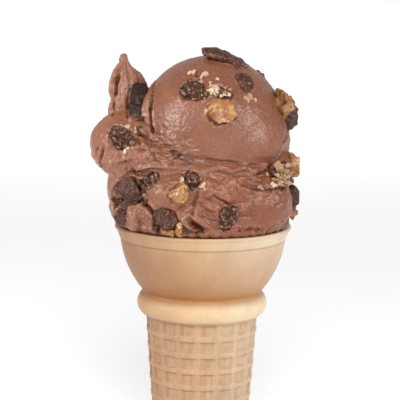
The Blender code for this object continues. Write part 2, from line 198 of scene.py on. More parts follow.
def cutFlat(points, count, depths, seed):
    # slices flat faces off the outside, as a broken piece has, then stretches it to its old size;
    # depths are the least and most to take off, as shares of the size in that direction
    draw = random.Random(seed)
    axes = np.linalg.svd(points - points.mean(axis=0), full_matrices=False)[2]
    before = points @ axes.T
    low, size = before.min(axis=0), np.ptp(before, axis=0)
    after = (before - low) / size
    for _ in range(count):
        way = np.array([draw.gauss(0, 1) for _ in range(3)])
        way /= np.linalg.norm(way)
        along = after @ way
        over = np.maximum(0.0, along - along.max() + draw.uniform(*depths))
        after = after - over[:, None] * way
    share = (after - after.min(axis=0)) / np.ptp(after, axis=0)
    return (low + share * size) @ axes


def smoothStep(low, high, value):
    t = np.clip((value - low) / (high - low), 0, 1)
    return t * t * (3 - 2 * t)


# material helpers


def startMaterial(name):
    # the material, its node tree, and the place of each point in millimetres
    material = bpy.data.materials.new(name)
    material.use_nodes = True
    return material, material.node_tree, placeNode(material.node_tree)


def fill(tree, socket, value):
    # links the socket if the value is another node's output, else gives it the value
    if isinstance(value, bpy.types.NodeSocket):
        tree.links.new(value, socket)
    else:
        socket.default_value = value


def addNode(tree, kind, *first, **values):
    # settings and inputs by name, then the first inputs in their order
    node = tree.nodes.new(kind)
    for key, value in values.items():
        if key in node.inputs:
            fill(tree, node.inputs[key], value)
        else:
            setattr(node, key, value)
    for socket, value in zip(node.inputs, first):
        fill(tree, socket, value)
    return node


def endMaterial(material, wanted):
    shader = material.node_tree.nodes["Principled BSDF"]
    for name, value in wanted.items():
        fill(material.node_tree, shader.inputs[name], value)
    return material


def placeNode(tree, scale=(1000.0, 1000.0, 1000.0)):
    # object coordinates, turned into millimetres
    where = addNode(tree, "ShaderNodeTexCoord").outputs["Object"]
    return addNode(tree, "ShaderNodeMapping", Vector=where, Scale=scale).outputs["Vector"]


def splitNode(tree, where):
    return addNode(tree, "ShaderNodeSeparateXYZ", where).outputs


def storedNode(tree, name):
    # what storeValues or the waffle's tree keeps under this name
    return addNode(tree, "ShaderNodeAttribute", attribute_name=name).outputs["Fac"]


def mathNode(tree, operation, *values):
    return addNode(tree, "ShaderNodeMath", *values, operation=operation).outputs[0]


def noiseNode(tree, where, scale, detail=3.0, roughness=0.55, distortion=0.0):
    values = {"Scale": scale, "Detail": detail, "Roughness": roughness, "Distortion": distortion}
    return addNode(tree, "ShaderNodeTexNoise", Vector=where, **values).outputs["Fac"]


def rampNode(tree, fac, stops):
    # stops are (place, colour) pairs, colours linear
    node = addNode(tree, "ShaderNodeValToRGB", fac)
    while len(node.color_ramp.elements) < len(stops):
        node.color_ramp.elements.new(0.5)
    for element, (place, colour) in zip(node.color_ramp.elements, stops):
        element.position = place
        element.color = (*colour, 1.0)
    return node.outputs["Color"]


def mixNode(tree, fac, first, second, blend="MIX"):
    node = addNode(tree, "ShaderNodeMix", data_type="RGBA", blend_type=blend)
    for index, value in ((0, fac), (6, first), (7, second)):
        fill(tree, node.inputs[index], (*value, 1.0) if isinstance(value, tuple) else value)
    return node.outputs[2]


def layered(tree, colour, layers):
    # lays each (share, colour) over what is there
    for share, tint in layers:
        colour = mixNode(tree, share, colour, tint)
    return colour


def rangeNode(tree, value, fromLow, fromHigh, toLow, toHigh):
    return addNode(tree, "ShaderNodeMapRange", value, fromLow, fromHigh, toLow, toHigh).outputs[0]


def bumpNode(tree, height, strength, distance, normal=None):
    node = addNode(tree, "ShaderNodeBump", Height=height, Strength=strength, Distance=distance * mm)
    if normal:
        tree.links.new(normal, node.inputs["Normal"])
    return node.outputs["Normal"]


def startTree(name, inputs):
    # a node tree that takes a mesh and the named inputs, given with their kinds, and gives a mesh
    tree = bpy.data.node_groups.new(name, "GeometryNodeTree")
    for word, kind in (("Geometry", "Geometry"), *inputs):
        tree.interface.new_socket(word, in_out="INPUT", socket_type="NodeSocket" + kind)
    tree.interface.new_socket("Geometry", in_out="OUTPUT", socket_type="NodeSocketGeometry")
    return tree, addNode(tree, "NodeGroupInput").outputs


def endTree(tree, shape, material):
    real = addNode(tree, "GeometryNodeRealizeInstances", shape).outputs[0]
    painted = addNode(tree, "GeometryNodeSetMaterial", Geometry=real, Material=material).outputs[0]
    addNode(tree, "NodeGroupOutput", painted)
    return tree


# wafer cone

wafer = {
    "height": 86.0,
    "rimRadius": 31.0,
    "wall": 2.0,
    "bandHeight": 4.4,
    "bowlRadius": 29.0,
    "neckRadius": 21.0,
    "neckHeight": 62.4,
    "bowlBulge": 1.45,
    "collarRadius": 22.9,
    "collarMiddle": 57.9,
    "collarFoot": 53.8,
    "stemTopRadius": 19.9,
    "footRadius": 16.0,
    "floor": 3.0,
    "stemWall": 2.45,
    "ribs": 17,
    "ribTurn": -3.4,  # degrees
    "ribWidth": 2.1,
    "ringPitch": 5.85,
    "firstRing": 48.5,
    "ringWidth": 1.6,
    "edge": 0.5,  # width of the slope beside a rib or ring
    "ribShare": 0.78,  # height of a rib where a ring's is 1
    "depth": 1.05,
    "footBand": 3.2,  # the waffle ends at this height
    "stemSlope": 0.0725,  # what the stem's radius gains for each millimetre of height
    "stepsPerRib": 14,
    "unevenness": 0.10,
}
waffleSizes = ("ribs", "ribTurn", "ribWidth", "ringPitch", "firstRing", "ringWidth", "edge", "depth")
waffleSizes += ("collarFoot", "unevenness")


def bulgedLine(start, end, bulge, count):
    # an arc from start to end that stands out from the straight line by the bulge
    start, end = np.array(start, float), np.array(end, float)
    chord = end - start
    length = np.linalg.norm(chord)
    out = np.array([-chord[1], chord[0]]) / length
    out = out if out[0] > 0 else -out
    radius = (length * length / 4 + bulge * bulge) / (2 * bulge)
    middle = (start + end) / 2 - out * (radius - bulge)
    half = math.asin(length / 2 / radius)
    points = []
    for angle in np.linspace(-half, half, count + 1):
        along = chord / length * radius * math.sin(angle)
        points.append(tuple(middle + along + out * radius * math.cos(angle)))
    return points


def stemRadius(height):
    return wafer["footRadius"] + (wafer["stemTopRadius"] - wafer["footRadius"]) * height / wafer["collarFoot"]


def waferOutline():
    # from the middle of the floor inside, up over the lip and down the outside to the middle of the foot
    w = wafer
    top, floor, wall, bulge = w["height"], w["floor"], w["wall"], w["bowlBulge"]
    neckHeight, collarFoot = w["neckHeight"], w["collarFoot"]
    rim, bowl, neck, foot = (w[part + "Radius"] for part in ("rim", "bowl", "neck", "foot"))
    collar = (w["collarRadius"], w["collarMiddle"])
    bowlTop = top - w["bandHeight"]
    insideFoot = stemRadius(floor) - w["stemWall"]
    points = [(0.0, floor), (insideFoot * 0.5, floor), (insideFoot, floor)]
    points += [(stemRadius(h) - w["stemWall"], h) for h in (20.0, 37.0, collarFoot)]
    points += bulgedLine((neck - wall, neckHeight), (bowl - wall, bowlTop), bulge, 6)
    # the rounded lip, by radius and drop from the top
    inner = rim - wall
    lip = [(inner - 0.1, 1.6), (inner, 0.7), (inner + 0.2, 0.25), (inner + 0.6, 0.03)]
    lip += [(rim - 0.8, 0.0), (rim - 0.3, 0.12), (rim - 0.03, 0.5), (rim, 0.9)]
    points += [(radius, top - drop) for radius, drop in lip]
    # the flared band, then its crease by what is added to the bowl's radius and top, then the bowl
    band = (0.72, 0.62, 0.5, 0.38, 0.26, 0.16, 0.08)
    points += [(bowl + 0.3 + 1.7 * t, bowlTop + w["bandHeight"] * t) for t in band]
    crease = ((0.32, 0.04), (0.20, -0.12), (0.02, -0.28), (-0.08, -0.44), (-0.06, -0.6))
    points += [(bowl + out, bowlTop + up) for out, up in crease]
    points += bulgedLine((bowl - 0.02, bowlTop - 0.75), (neck + 0.06, neckHeight + 0.35), bulge, 34)
    # the neck and the collar
    points += [(neck, neckHeight), (neck + 0.12, neckHeight - 0.35)]
    points += bulgedLine((neck + 0.45, neckHeight - 0.75), collar, 0.42, 9)
    points += bulgedLine(collar, (w["stemTopRadius"] + 0.25, collarFoot + 0.1), 0.72, 9)[1:]
    # the stem, in steps fine enough for the waffle, and the rounded foot
    points += [(stemRadius(collarFoot) - 0.02, collarFoot - 0.15)]
    points += [(stemRadius(h), h) for h in np.arange(collarFoot - 0.45, 1.0, -0.36)]
    points += [(stemRadius(0.6), 0.6), (stemRadius(0.3) - 0.08, 0.25), (foot - 0.3, 0.05), (foot - 0.6, 0.0)]
    points += [(foot * 0.6, 0.0), (foot * 0.3, 0.0), (0.0, 0.0)]
    return points


def waffleTree():
    # presses the panels between ribs and rings, by distance from the nearest rib and ring
    sizes = [(name, "Float") for name in (*waffleSizes, "wallLimit")]
    tree, given = startTree("waffleStem", [*sizes, ("material", "Material")])

    def calc(operation, *values):
        return mathNode(tree, operation, *values)

    def toNearest(value, pitch):
        # distance to the nearest of the lines that stand a pitch apart
        half = calc("MULTIPLY", pitch, 0.5)
        past = calc("FLOORED_MODULO", calc("ADD", value, half), pitch)
        return calc("ABSOLUTE", calc("SUBTRACT", past, half))

    def softMask(distance, width):
        # 1 on the raised line, easing to 0 past its slope
        half = calc("MULTIPLY", width, 0.5)
        reach = (distance, half, calc("ADD", half, given["edge"]), 1.0, 0.0)
        return addNode(tree, "ShaderNodeMapRange", *reach, interpolation_type="SMOOTHSTEP").outputs[0]

    position = addNode(tree, "GeometryNodeInputPosition").outputs[0]
    across, deep, up = splitNode(tree, position)
    x, y, height = (calc("MULTIPLY", part, 1000.0) for part in (across, deep, up))
    radius = calc("SQRT", calc("ADD", calc("MULTIPLY", x, x), calc("MULTIPLY", y, y)))
    fromFront = calc("ADD", calc("ARCTAN2", y, x), math.pi / 2)
    angle = calc("SUBTRACT", fromFront, calc("RADIANS", given["ribTurn"]))
    toRib = calc("MULTIPLY", toNearest(angle, calc("DIVIDE", math.tau, given["ribs"])), radius)
    toRing = toNearest(calc("SUBTRACT", given["firstRing"], height), given["ringPitch"])
    rib = calc("MULTIPLY", softMask(toRib, given["ribWidth"]), wafer["ribShare"])
    raised = calc("MAXIMUM", rib, softMask(toRing, given["ringWidth"]))
    # only the outer wall of the stem, below the collar and above the foot band
    underCollar = calc("LESS_THAN", height, calc("SUBTRACT", given["collarFoot"], 0.3))
    onStem = calc("MULTIPLY", underCollar, calc("GREATER_THAN", height, wafer["footBand"]))
    outerWall = calc("ADD", given["wallLimit"], calc("MULTIPLY", height, wafer["stemSlope"]))
    outer = calc("GREATER_THAN", radius, outerWall)
    pressed = calc("MULTIPLY", calc("MULTIPLY", onStem, outer), calc("SUBTRACT", 1.0, raised))
    scaled = addNode(tree, "ShaderNodeVectorMath", position, operation="SCALE", Scale=1000.0).outputs[0]
    uneven = calc("SUBTRACT", noiseNode(tree, scaled, 0.42, 3.0, 0.5), 0.5)
    wobble = calc("MULTIPLY", uneven, given["unevenness"])
    inward = calc("ADD", calc("MULTIPLY", pressed, given["depth"]), wobble)
    keepFoot = calc("GREATER_THAN", height, 1.2)
    factor = calc("DIVIDE", calc("MULTIPLY", inward, keepFoot), calc("MAXIMUM", radius, 0.5))
    offset = [calc("MULTIPLY", part, calc("MULTIPLY", factor, -1.0)) for part in (across, deep)]
    offset = addNode(tree, "ShaderNodeCombineXYZ", *offset).outputs[0]
    moved = addNode(tree, "GeometryNodeSetPosition", Geometry=given["Geometry"], Offset=offset).outputs[0]
    # the material browns the pressed panels by this, partly as painted shade in the recesses
    kept = {"data_type": "FLOAT", "domain": "POINT", "Name": "pressed", "Geometry": moved, "Value": pressed}
    stored = addNode(tree, "GeometryNodeStoreNamedAttribute", **kept).outputs[0]
    return endTree(tree, stored, given["material"])


def setInput(modifier, name, value):
    for item in modifier.node_group.interface.items_tree:
        if item.item_type == "SOCKET" and item.in_out == "INPUT" and item.name == name:
            modifier[item.identifier] = value


def heightShade(tree, height, stops):
    # a grey that follows the height over the foot
    share = rangeNode(tree, height, 0.0, wafer["height"], 0.0, 1.0)
    return rampNode(tree, share, [(z / wafer["height"], (shade, shade, shade)) for z, shade in stops])


# heights over the foot with how much of the colour shows there, then the colour: toasted brown low in the
# bowl and a painted shade line in the neck crease, the pale collar, the pale band, painted shade in the
# crease under it
waferShades = [
    (
        [(0, 0.0), (53, 0.0), (54.6, 0.0), (58, 0.0), (61.2, 0.3), (62.3, 1.0), (64.5, 0.82),
         (70, 0.46), (81, 0.12)],
        (0.38, 0.185, 0.065),
    ),
    ([(0, 0.0), (54.2, 0.0), (55.2, 0.75), (59.5, 0.6), (61.5, 0.0)], (0.72, 0.60, 0.43)),
    ([(0, 0.0), (81.0, 0.0), (81.9, 0.85), (84.6, 0.9), (85.6, 0.35)], (0.575, 0.465, 0.335)),
    ([(0, 0.0), (80.7, 0.0), (81.35, 0.5), (81.8, 0.0), (86, 0.0)], (0.31, 0.16, 0.07)),
]


def waferMaterial():
    material, tree, where = startMaterial("bakedWafer")
    across, _, height = splitNode(tree, where)
    tans = [(0.3, (0.455, 0.35, 0.250)), (0.52, (0.495, 0.385, 0.280)), (0.75, (0.54, 0.43, 0.325))]
    colour = rampNode(tree, noiseNode(tree, where, 0.06, 4.0, 0.6), tans)
    # the height bands, with painted shade in the neck crease and in the crease under the band
    for stops, tint in waferShades:
        colour = mixNode(tree, heightShade(tree, height, stops), colour, tint)
    # browner in the pressed panels, partly painted shade in the recesses
    pressed = rangeNode(tree, storedNode(tree, "pressed"), 0.0, 1.0, 0.0, 0.66)
    colour = mixNode(tree, pressed, colour, (0.48, 0.240, 0.108))
    # upright streaks, hardly any above the stem
    streak = noiseNode(tree, placeNode(tree, (900.0, 900.0, 90.0)), 0.9, 3.0, 0.6)
    streaked = rangeNode(tree, streak, 0.50, 0.68, 0.0, 0.42)
    onStem = mathNode(tree, "MULTIPLY", streaked, rangeNode(tree, height, 54.4, 53.4, 0.06, 1.0))
    colour = mixNode(tree, onStem, colour, (0.40, 0.185, 0.078))
    # painted light and shade: the left side darker and the right a touch paler, as the light falls from the
    # right; and the whole is faintly mottled
    sideLightAndShade = [(0.05, (0.48, 0.31, 0.21)), (0.5, (0.81, 0.69, 0.54)), (0.95, (1.03, 1.03, 1.04))]
    side = rampNode(tree, rangeNode(tree, across, -30.0, 30.0, 0.0, 1.0), sideLightAndShade)
    patchy = noiseNode(tree, placeNode(tree, (170.0, 170.0, 110.0)), 1.0, 5.0, 0.6)
    patches = [(0.32, (0.95, 0.92, 0.89)), (0.5, (1.0, 1.0, 1.0)), (0.68, (1.04, 1.05, 1.07))]
    for tint in (side, rampNode(tree, patchy, patches)):
        colour = mixNode(tree, 1.0, colour, tint, "MULTIPLY")
    fine = noiseNode(tree, where, 0.9, 5.0, 0.65)
    specks = rampNode(tree, fine, [(0.30, (0.72, 0.62, 0.50)), (0.45, (1.0, 1.0, 1.0))])
    pores = noiseNode(tree, where, 2.6, 2.0, 0.5)
    wanted = {
        "Base Color": mixNode(tree, 0.22, colour, specks, "MULTIPLY"),
        "Roughness": rangeNode(tree, fine, 0.3, 0.7, 0.40, 0.58),
        "Specular IOR Level": 0.4,
        "Subsurface Weight": 0.08,
        "Subsurface Radius": (1.0, 0.5, 0.2),
        "Subsurface Scale": 0.001,
        "Normal": bumpNode(tree, pores, 0.25, 0.06, bumpNode(tree, fine, 0.4, 0.14)),
    }
    return endMaterial(material, wanted)


def makeWafer():
    outline = bmesh.new()
    verts = [outline.verts.new((r * mm, 0.0, z * mm)) for r, z in waferOutline()]
    for first, second in zip(verts, verts[1:]):
        outline.edges.new((first, second))
    item = addObject("waferCone", meshFrom("waferCone", outline))
    turn = item.modifiers.new("turn", "SCREW")
    turn.steps = turn.render_steps = wafer["ribs"] * wafer["stepsPerRib"]
    turn.use_merge_vertices = True
    turn.merge_threshold = 0.00001
    bake(item)
    stem = item.modifiers.new("waffle", "NODES")
    stem.node_group = waffleTree()
    for name in waffleSizes:
        setInput(stem, name, float(wafer[name]))
    setInput(stem, "wallLimit", wafer["footRadius"] - 0.8)
    setInput(stem, "material", waferMaterial())
    bake(item)
    item.data.shade_smooth()
    return item


cone = makeWafer()
print("wafer cone made,", len(cone.data.polygons), "faces")


# ice cream

scoops = {
    "ballCentre": (2.4, 1.0, 120.0),
    "ballRadii": (25.5, 25.2, 25.0),
    "voxel": 0.43,
    "softening": 3,
    "floor": 79.0,  # it reaches this far down inside the cone
    "plugTop": 92.0,
    "plugRadius": 29.0,
    "wallGap": 0.3,
    "keptFaces": 0.79,  # as a share
    # soft unevenness: height and width
    "swells": (0.55, 9.0),
    "ripples": (0.16, 2.6),
    "grain": (0.075, 0.9),
    "skirt": (0.4, 2.6),
}
# how the surface lies round a piece: the lip's height, distance and width, the deepest dip under the piece,
# and the narrow gap left beside it where the lip is lower than gapBelow
hug = {"lip": 0.42, "lipAway": 1.1, "lipWidth": 0.5, "deepest": 1.2, "gap": 0.45, "gapBelow": 0.19}

# centre, then radii
lumps = [
    ((2.4, 1.0, 120.0), (25.5, 25.2, 25.0)),
    ((5.3, 0.0, 117.5), (24.6, 22.8, 20.0)),
    ((-2.5, -5.0, 113.0), (21.0, 19.0, 17.0)),
    ((-0.3, -0.5, 92.5), (30.5, 30.0, 14.0)),
    ((-1.0, -1.5, 101.0), (29.6, 28.0, 14.0)),
    ((-25.3, -4.5, 114.2), (14.3, 14.3, 12.4)),
    ((-19.0, -3.0, 100.0), (14.7, 17.0, 14.0)),
    ((-22.5, -6.0, 92.5), (9.8, 13.0, 7.4)),
    ((17.0, -13.0, 96.0), (13.2, 13.5, 12.0)),
    ((-22.2, -17.6, 91.2), (5.4, 5.4, 5.5)),
    ((-9.0, -21.0, 100.0), (11.0, 9.5, 9.0)),
    ((12.0, 17.0, 101.0), (16.0, 13.0, 12.0)),
    ((-13.0, 16.0, 98.0), (15.0, 13.5, 13.0)),
]

# strings of melted beads: x, y, z, radius
strands = [
    [(-3.0, -2.0, 140.0, 1.8), (-9.5, -3.4, 138.0, 2.5), (-14.6, -6.4, 133.9, 2.4),
     (-18.3, -9.4, 129.4, 2.5), (-19.3, -11.2, 121.0, 2.7), (-17.0, -14.0, 113.5, 3.0)],
    [(20.0, 12.0, 110.0, 4.0), (10.0, 20.5, 109.0, 5.5), (-3.0, 22.5, 110.0, 6.0),
     (-14.0, 17.0, 113.0, 5.0)],
    # the pulled peak: finger, back, right edge and the two slivers on the left
    [(-28.0, -4.5, 118.5, 6.6), (-29.2, -4.4, 123.4, 4.2), (-28.8, -4.2, 127.2, 3.2),
     (-27.7, -4.0, 131.0, 3.0), (-27.5, -3.8, 134.6, 2.6), (-27.7, -3.5, 138.2, 2.2),
     (-27.9, -3.2, 141.4, 1.7), (-28.2, -3.0, 144.1, 1.45)],
    [(-25.0, 1.0, 119.0, 6.5), (-26.4, 1.4, 126.0, 4.2), (-26.6, 0.8, 132.0, 2.8),
     (-27.0, -0.6, 137.4, 1.7)],
    [(-27.2, -1.6, 141.2, 1.1), (-23.8, -0.6, 138.4, 1.5), (-21.8, 0.4, 134.6, 1.7),
     (-21.4, 1.2, 129.0, 2.2)],
    [(-28.9, -4.2, 142.0, 1.0), (-31.0, -4.8, 138.8, 1.15), (-32.2, -5.2, 135.0, 1.25),
     (-31.9, -5.2, 131.6, 1.35), (-29.6, -4.8, 129.6, 1.6)],
    [(-27.2, -3.0, 142.0, 1.3), (-25.6, -2.0, 138.0, 2.0), (-25.0, -1.6, 133.6, 2.4)],
    [(-28.8, -3.0, 138.0, 1.2), (-30.0, -3.4, 134.6, 1.5), (-29.8, -3.4, 131.0, 1.9)],
    [(-30.4, -5.0, 130.6, 1.2), (-32.1, -5.2, 127.4, 1.2), (-31.6, -4.8, 122.6, 1.8)],
    # the lip from the lobe to the right, the fold that holds the nuts, the skirt in the rim
    [(-25.0, -15.5, 114.0, 4.6), (-16.0, -20.5, 110.0, 4.8), (-5.0, -22.2, 107.0, 4.6),
     (6.0, -22.6, 105.6, 3.8), (16.0, -19.6, 105.0, 3.2)],
    [(-3.0, -20.0, 110.6, 2.3), (6.0, -20.2, 109.5, 2.3), (13.0, -18.3, 108.7, 2.2),
     (19.0, -14.6, 108.2, 2.2)],
    [(24.0, -13.0, 104.5, 3.4), (27.6, -5.0, 108.0, 3.4), (27.0, 5.0, 109.0, 3.6)],
    [(-27.4, -2.0, 88.6, 2.4), (-24.0, -14.0, 87.8, 2.4), (-15.4, -23.4, 87.7, 2.3),
     (-4.1, -27.7, 87.6, 2.3), (8.3, -27.2, 87.6, 2.3), (18.8, -21.6, 87.7, 2.3),
     (26.8, -10.0, 87.8, 2.3), (28.0, 2.0, 88.0, 2.2)],
]

# marks on the front, drawn as seen from there: (x, z) stops, width, height, kind
# groove cuts in, ridge stands out, fold lifts the side to the left of its direction over a sharp crease
marks = [
    ([(-16.4, 117.0), (-17.9, 121.0), (-18.6, 127.0), (-18.4, 132.6), (-17.4, 135.6)], 0.55, 1.1, "fold"),
    ([(-18.3, 129.5), (-18.2, 124.0), (-17.2, 119.0)], 0.4, 1.4, "groove"),
    ([(-22.9, 121.7), (-20.6, 119.0), (-17.8, 117.4), (-14.2, 117.4)], 0.5, 0.8, "fold"),
    ([(-21.0, 122.4), (-19.0, 120.4), (-16.4, 118.9), (-12.2, 119.0)], 0.6, 0.7, "ridge"),
    ([(-24.0, 119.6), (-21.6, 116.6), (-18.6, 114.8), (-15.0, 114.2)], 0.5, 0.7, "fold"),
    ([(-14.9, 115.5), (-12.1, 115.9), (-9.2, 116.3)], 0.5, 0.5, "groove"),
    ([(-13.2, 113.9), (-11.1, 113.8), (-7.8, 114.6)], 0.5, 0.45, "groove"),
    ([(-10.6, 113.4), (-6.4, 112.2), (-0.8, 112.1), (3.7, 111.8)], 0.9, 0.5, "groove"),
    ([(-13.0, 110.8), (-9.0, 111.0), (-4.7, 110.9)], 0.6, 0.5, "fold"),
    ([(-36.2, 114.6), (-36.8, 113.2), (-37.2, 111.4)], 0.45, 1.2, "groove"),
    ([(-34.3, 114.8), (-35.2, 109.8), (-34.4, 106.2)], 0.5, 1.2, "groove"),
    ([(-31.8, 122.5), (-32.9, 119.3), (-32.9, 116.4), (-32.2, 112.4)], 0.4, 0.7, "ridge"),
    ([(-24.9, 114.6), (-23.2, 112.3), (-21.0, 109.2)], 0.5, 0.6, "groove"),
    ([(-28.6, 103.6), (-25.1, 106.2), (-21.1, 107.9), (-17.0, 108.8), (-12.0, 108.6)], 0.8, 0.9, "fold"),
    ([(-22.3, 119.6), (-20.8, 117.1), (-20.5, 114.4)], 0.5, 0.45, "ridge"),
    ([(1.0, 111.6), (6.0, 111.0), (10.1, 110.6), (14.0, 109.2), (17.3, 109.2),
      (21.5, 107.9)], 0.5, 0.6, "groove"),
    ([(2.4, 108.5), (6.0, 108.9), (9.7, 107.8), (13.5, 108.3), (17.5, 107.2),
      (22.0, 107.6)], 0.5, 1.1, "fold"),
    ([(10.0, 106.7), (15.5, 106.4), (20.4, 107.0)], 0.5, 0.8, "groove"),
    ([(12.8, 103.9), (14.6, 105.6), (20.4, 106.3)], 0.55, 0.9, "fold"),
    ([(12.6, 104.2), (16.5, 102.9), (22.0, 102.6)], 0.8, 0.8, "groove"),
    ([(3.0, 101.2), (6.2, 99.1), (9.8, 97.6)], 0.6, 1.0, "fold"),
    ([(1.4, 99.2), (3.2, 101.3), (5.4, 102.2)], 0.5, 0.55, "ridge"),
    ([(3.6, 107.6), (7.6, 106.6), (6.3, 104.4), (4.9, 102.3)], 0.55, 0.6, "ridge"),
    ([(9.0, 106.4), (10.2, 104.8), (9.5, 102.3), (10.2, 99.6)], 0.5, 0.6, "ridge"),
    ([(12.6, 103.3), (11.4, 101.2), (10.3, 99.2)], 0.5, 0.5, "ridge"),
    ([(-1.2, 103.0), (-2.2, 99.3), (-2.7, 96.6), (-3.3, 93.0)], 0.6, 0.9, "fold"),
    ([(-1.8, 97.9), (1.4, 95.7), (5.0, 94.7)], 0.42, 0.7, "groove"),
    ([(-2.0, 96.4), (1.6, 94.3), (5.2, 93.5)], 0.42, 0.7, "groove"),
    ([(-2.2, 95.0), (1.4, 92.9), (5.0, 92.1)], 0.42, 0.7, "groove"),
    ([(-4.6, 91.9), (-2.0, 90.2), (0.6, 88.4)], 0.9, 2.2, "groove"),
    ([(-6.6, 92.0), (-4.4, 89.9), (-1.4, 88.0)], 0.7, 1.0, "ridge"),
    ([(10.2, 88.7), (16.1, 89.3), (20.2, 88.6), (24.0, 89.6)], 0.6, 0.8, "fold"),
    ([(-21.8, 96.6), (-24.9, 95.4), (-26.9, 92.5), (-26.6, 89.2)], 0.8, 1.3, "groove"),
    ([(-20.4, 97.4), (-17.6, 95.4), (-16.2, 92.6), (-15.8, 88.4)], 0.9, 1.8, "groove"),
    ([(-24.4, 93.6), (-23.4, 90.4), (-21.0, 88.0)], 0.5, 0.6, "ridge"),
    ([(-22.6, 94.4), (-21.9, 91.4), (-20.0, 88.8)], 0.4, 0.5, "groove"),
    ([(-10.6, 97.0), (-8.4, 94.5), (-7.6, 91.0)], 0.7, 0.9, "ridge"),
    ([(28.6, 122.3), (28.7, 118.5), (27.0, 114.7), (25.0, 111.1)], 0.6, 0.6, "fold"),
    ([(-29.9, 137.6), (-30.4, 134.6), (-30.6, 130.8)], 0.4, 1.2, "groove"),
    ([(-31.3, 129.8), (-31.2, 127.6), (-31.4, 124.4)], 0.4, 1.1, "groove"),
    ([(-27.0, 142.0), (-25.6, 136.3), (-25.8, 131.5), (-26.2, 126.4), (-25.2, 122.0)], 0.6, 0.7, "fold"),
    ([(-24.8, 95.4), (-22.5, 96.2), (-20.0, 97.9)], 0.6, 0.9, "groove"),
    ([(-15.5, 114.6), (-18.1, 112.8), (-22.5, 111.2)], 0.5, 0.5, "ridge"),
    ([(-16.1, 112.0), (-19.1, 110.3), (-23.5, 109.0)], 0.5, 0.5, "groove"),
    ([(17.2, 101.9), (16.0, 98.7), (16.6, 94.2)], 1.2, 0.5, "groove"),
]

# combed patches: where the spatula dragged, (x, z), reach, angle of the drag in degrees, height
dragged = [
    ((-13.5, 114.5), 7.5, -14, 0.75),
    ((-17.0, 118.5), 4.5, -40, 0.6),
    ((-21.5, 112.0), 7.0, -38, 0.38),
    ((-8.0, 112.0), 5.5, -6, 0.5),
    ((1.5, 94.5), 5.0, -22, 0.30),
    ((9.0, 103.5), 7.5, 60, 0.20),
    ((-13.0, 100.0), 9.0, 20, 0.26),
    ((20.0, 95.0), 9.0, 85, 0.12),
    ((-28.0, 130.0), 9.0, 88, 0.22),
    ((14.0, 89.0), 8.0, 4, 0.35),
    ((-14.0, 89.5), 8.0, -10, 0.35),
    ((26.0, 116.0), 8.0, 80, 0.16),
    ((-9.0, 124.0), 8.0, 70, 0.05),
    ((15.0, 124.0), 9.0, 80, 0.10),
    ((-20.0, 107.0), 7.0, 15, 0.35),
    ((-31.0, 112.0), 7.0, 70, 0.25),
]


def lumpBody():
    shape = bmesh.new()
    for centre, radii in lumps:
        size = Matrix.Diagonal((*(r * mm for r in radii), 1.0))
        place = Matrix.Translation(Vector(centre) * mm) @ size
        bmesh.ops.create_icosphere(shape, subdivisions=5, radius=1.0, matrix=place)
    for stops in strands:
        for x, y, z, radius in smoothRun(stops, 26):
            place = Matrix.Translation(Vector((x, y, z)) * mm)
            bmesh.ops.create_icosphere(shape, subdivisions=3, radius=radius * mm, matrix=place)
    # the plug that sits in the mouth of the cone
    foot, top, wide = scoops["floor"], scoops["plugTop"], scoops["plugRadius"] * mm
    place = Matrix.Translation((0, 0, (foot + top) / 2 * mm))
    plug = {"cap_ends": True, "segments": 64, "radius1": wide, "radius2": wide, "depth": (top - foot) * mm}
    bmesh.ops.create_cone(shape, matrix=place, **plug)
    item = addObject("iceCream", meshFrom("iceCream", shape))
    remeshed(item, scoops["voxel"])
    smoothed(item, scoops["softening"])
    return item


def keepBiggest(mesh):
    shape = bmesh.new()
    shape.from_mesh(mesh)
    waiting = set(shape.verts)
    groups = []
    while waiting:
        group = {waiting.pop()}
        edge = list(group)
        while edge:
            for link in edge.pop().link_edges:
                for vertex in link.verts:
                    if vertex in waiting:
                        waiting.discard(vertex)
                        group.add(vertex)
                        edge.append(vertex)
        groups.append(group)
    groups.sort(key=len)
    for group in groups[:-1]:
        bmesh.ops.delete(shape, geom=list(group), context="VERTS")
    shape.to_mesh(mesh)
    shape.free()


def treeOf(points, faces):
    return BVHTree.FromPolygons([Vector(p) for p in points], faces)


def facesOf(mesh):
    return [list(p.vertices) for p in mesh.polygons]


def lineDistance(points, line):
    # distance of each point to a 3-D line, and how far it lies to the line's left as seen from the front
    best = np.full(len(points), 1e9)
    side = np.zeros(len(points))
    for a, b in zip(line, line[1:]):
        run = b - a
        length = max(run @ run, 1e-9)
        t = np.clip((points - a) @ run / length, 0, 1)
        gap = points - (a + t[:, None] * run)
        distance = np.linalg.norm(gap, axis=1)
        closer = distance < best
        left = run[0] * gap[:, 2] - run[2] * gap[:, 0]  # cross product in the front view
        best[closer] = distance[closer]
        side[closer] = np.sign(left[closer]) * distance[closer]
    return best, side


def frontPoint(tree, x, z):
    # where the surface is met from the front
    met = tree.ray_cast(Vector((x, -rayStart, z)), Vector((0, 1, 0)))[0]
    return np.array(met) if met else None


def aroundPoint(tree, bearing, height):
    # where the surface is met from outside, at a bearing from the front
    out = Vector((math.sin(bearing), -math.cos(bearing), 0))
    return tree.ray_cast(out * rayStart + Vector((0, 0, height)), -out)[0]


def nearLine(points, line, margin):
    low, high = line.min(axis=0) - margin, line.max(axis=0) + margin
    return np.where(((points > low) & (points < high)).all(axis=1))[0]


def fromEnds(points, line):
    # distance of each point to the nearer end of the line
    return np.minimum(*(np.linalg.norm(points - line[end], axis=1) for end in (0, -1)))


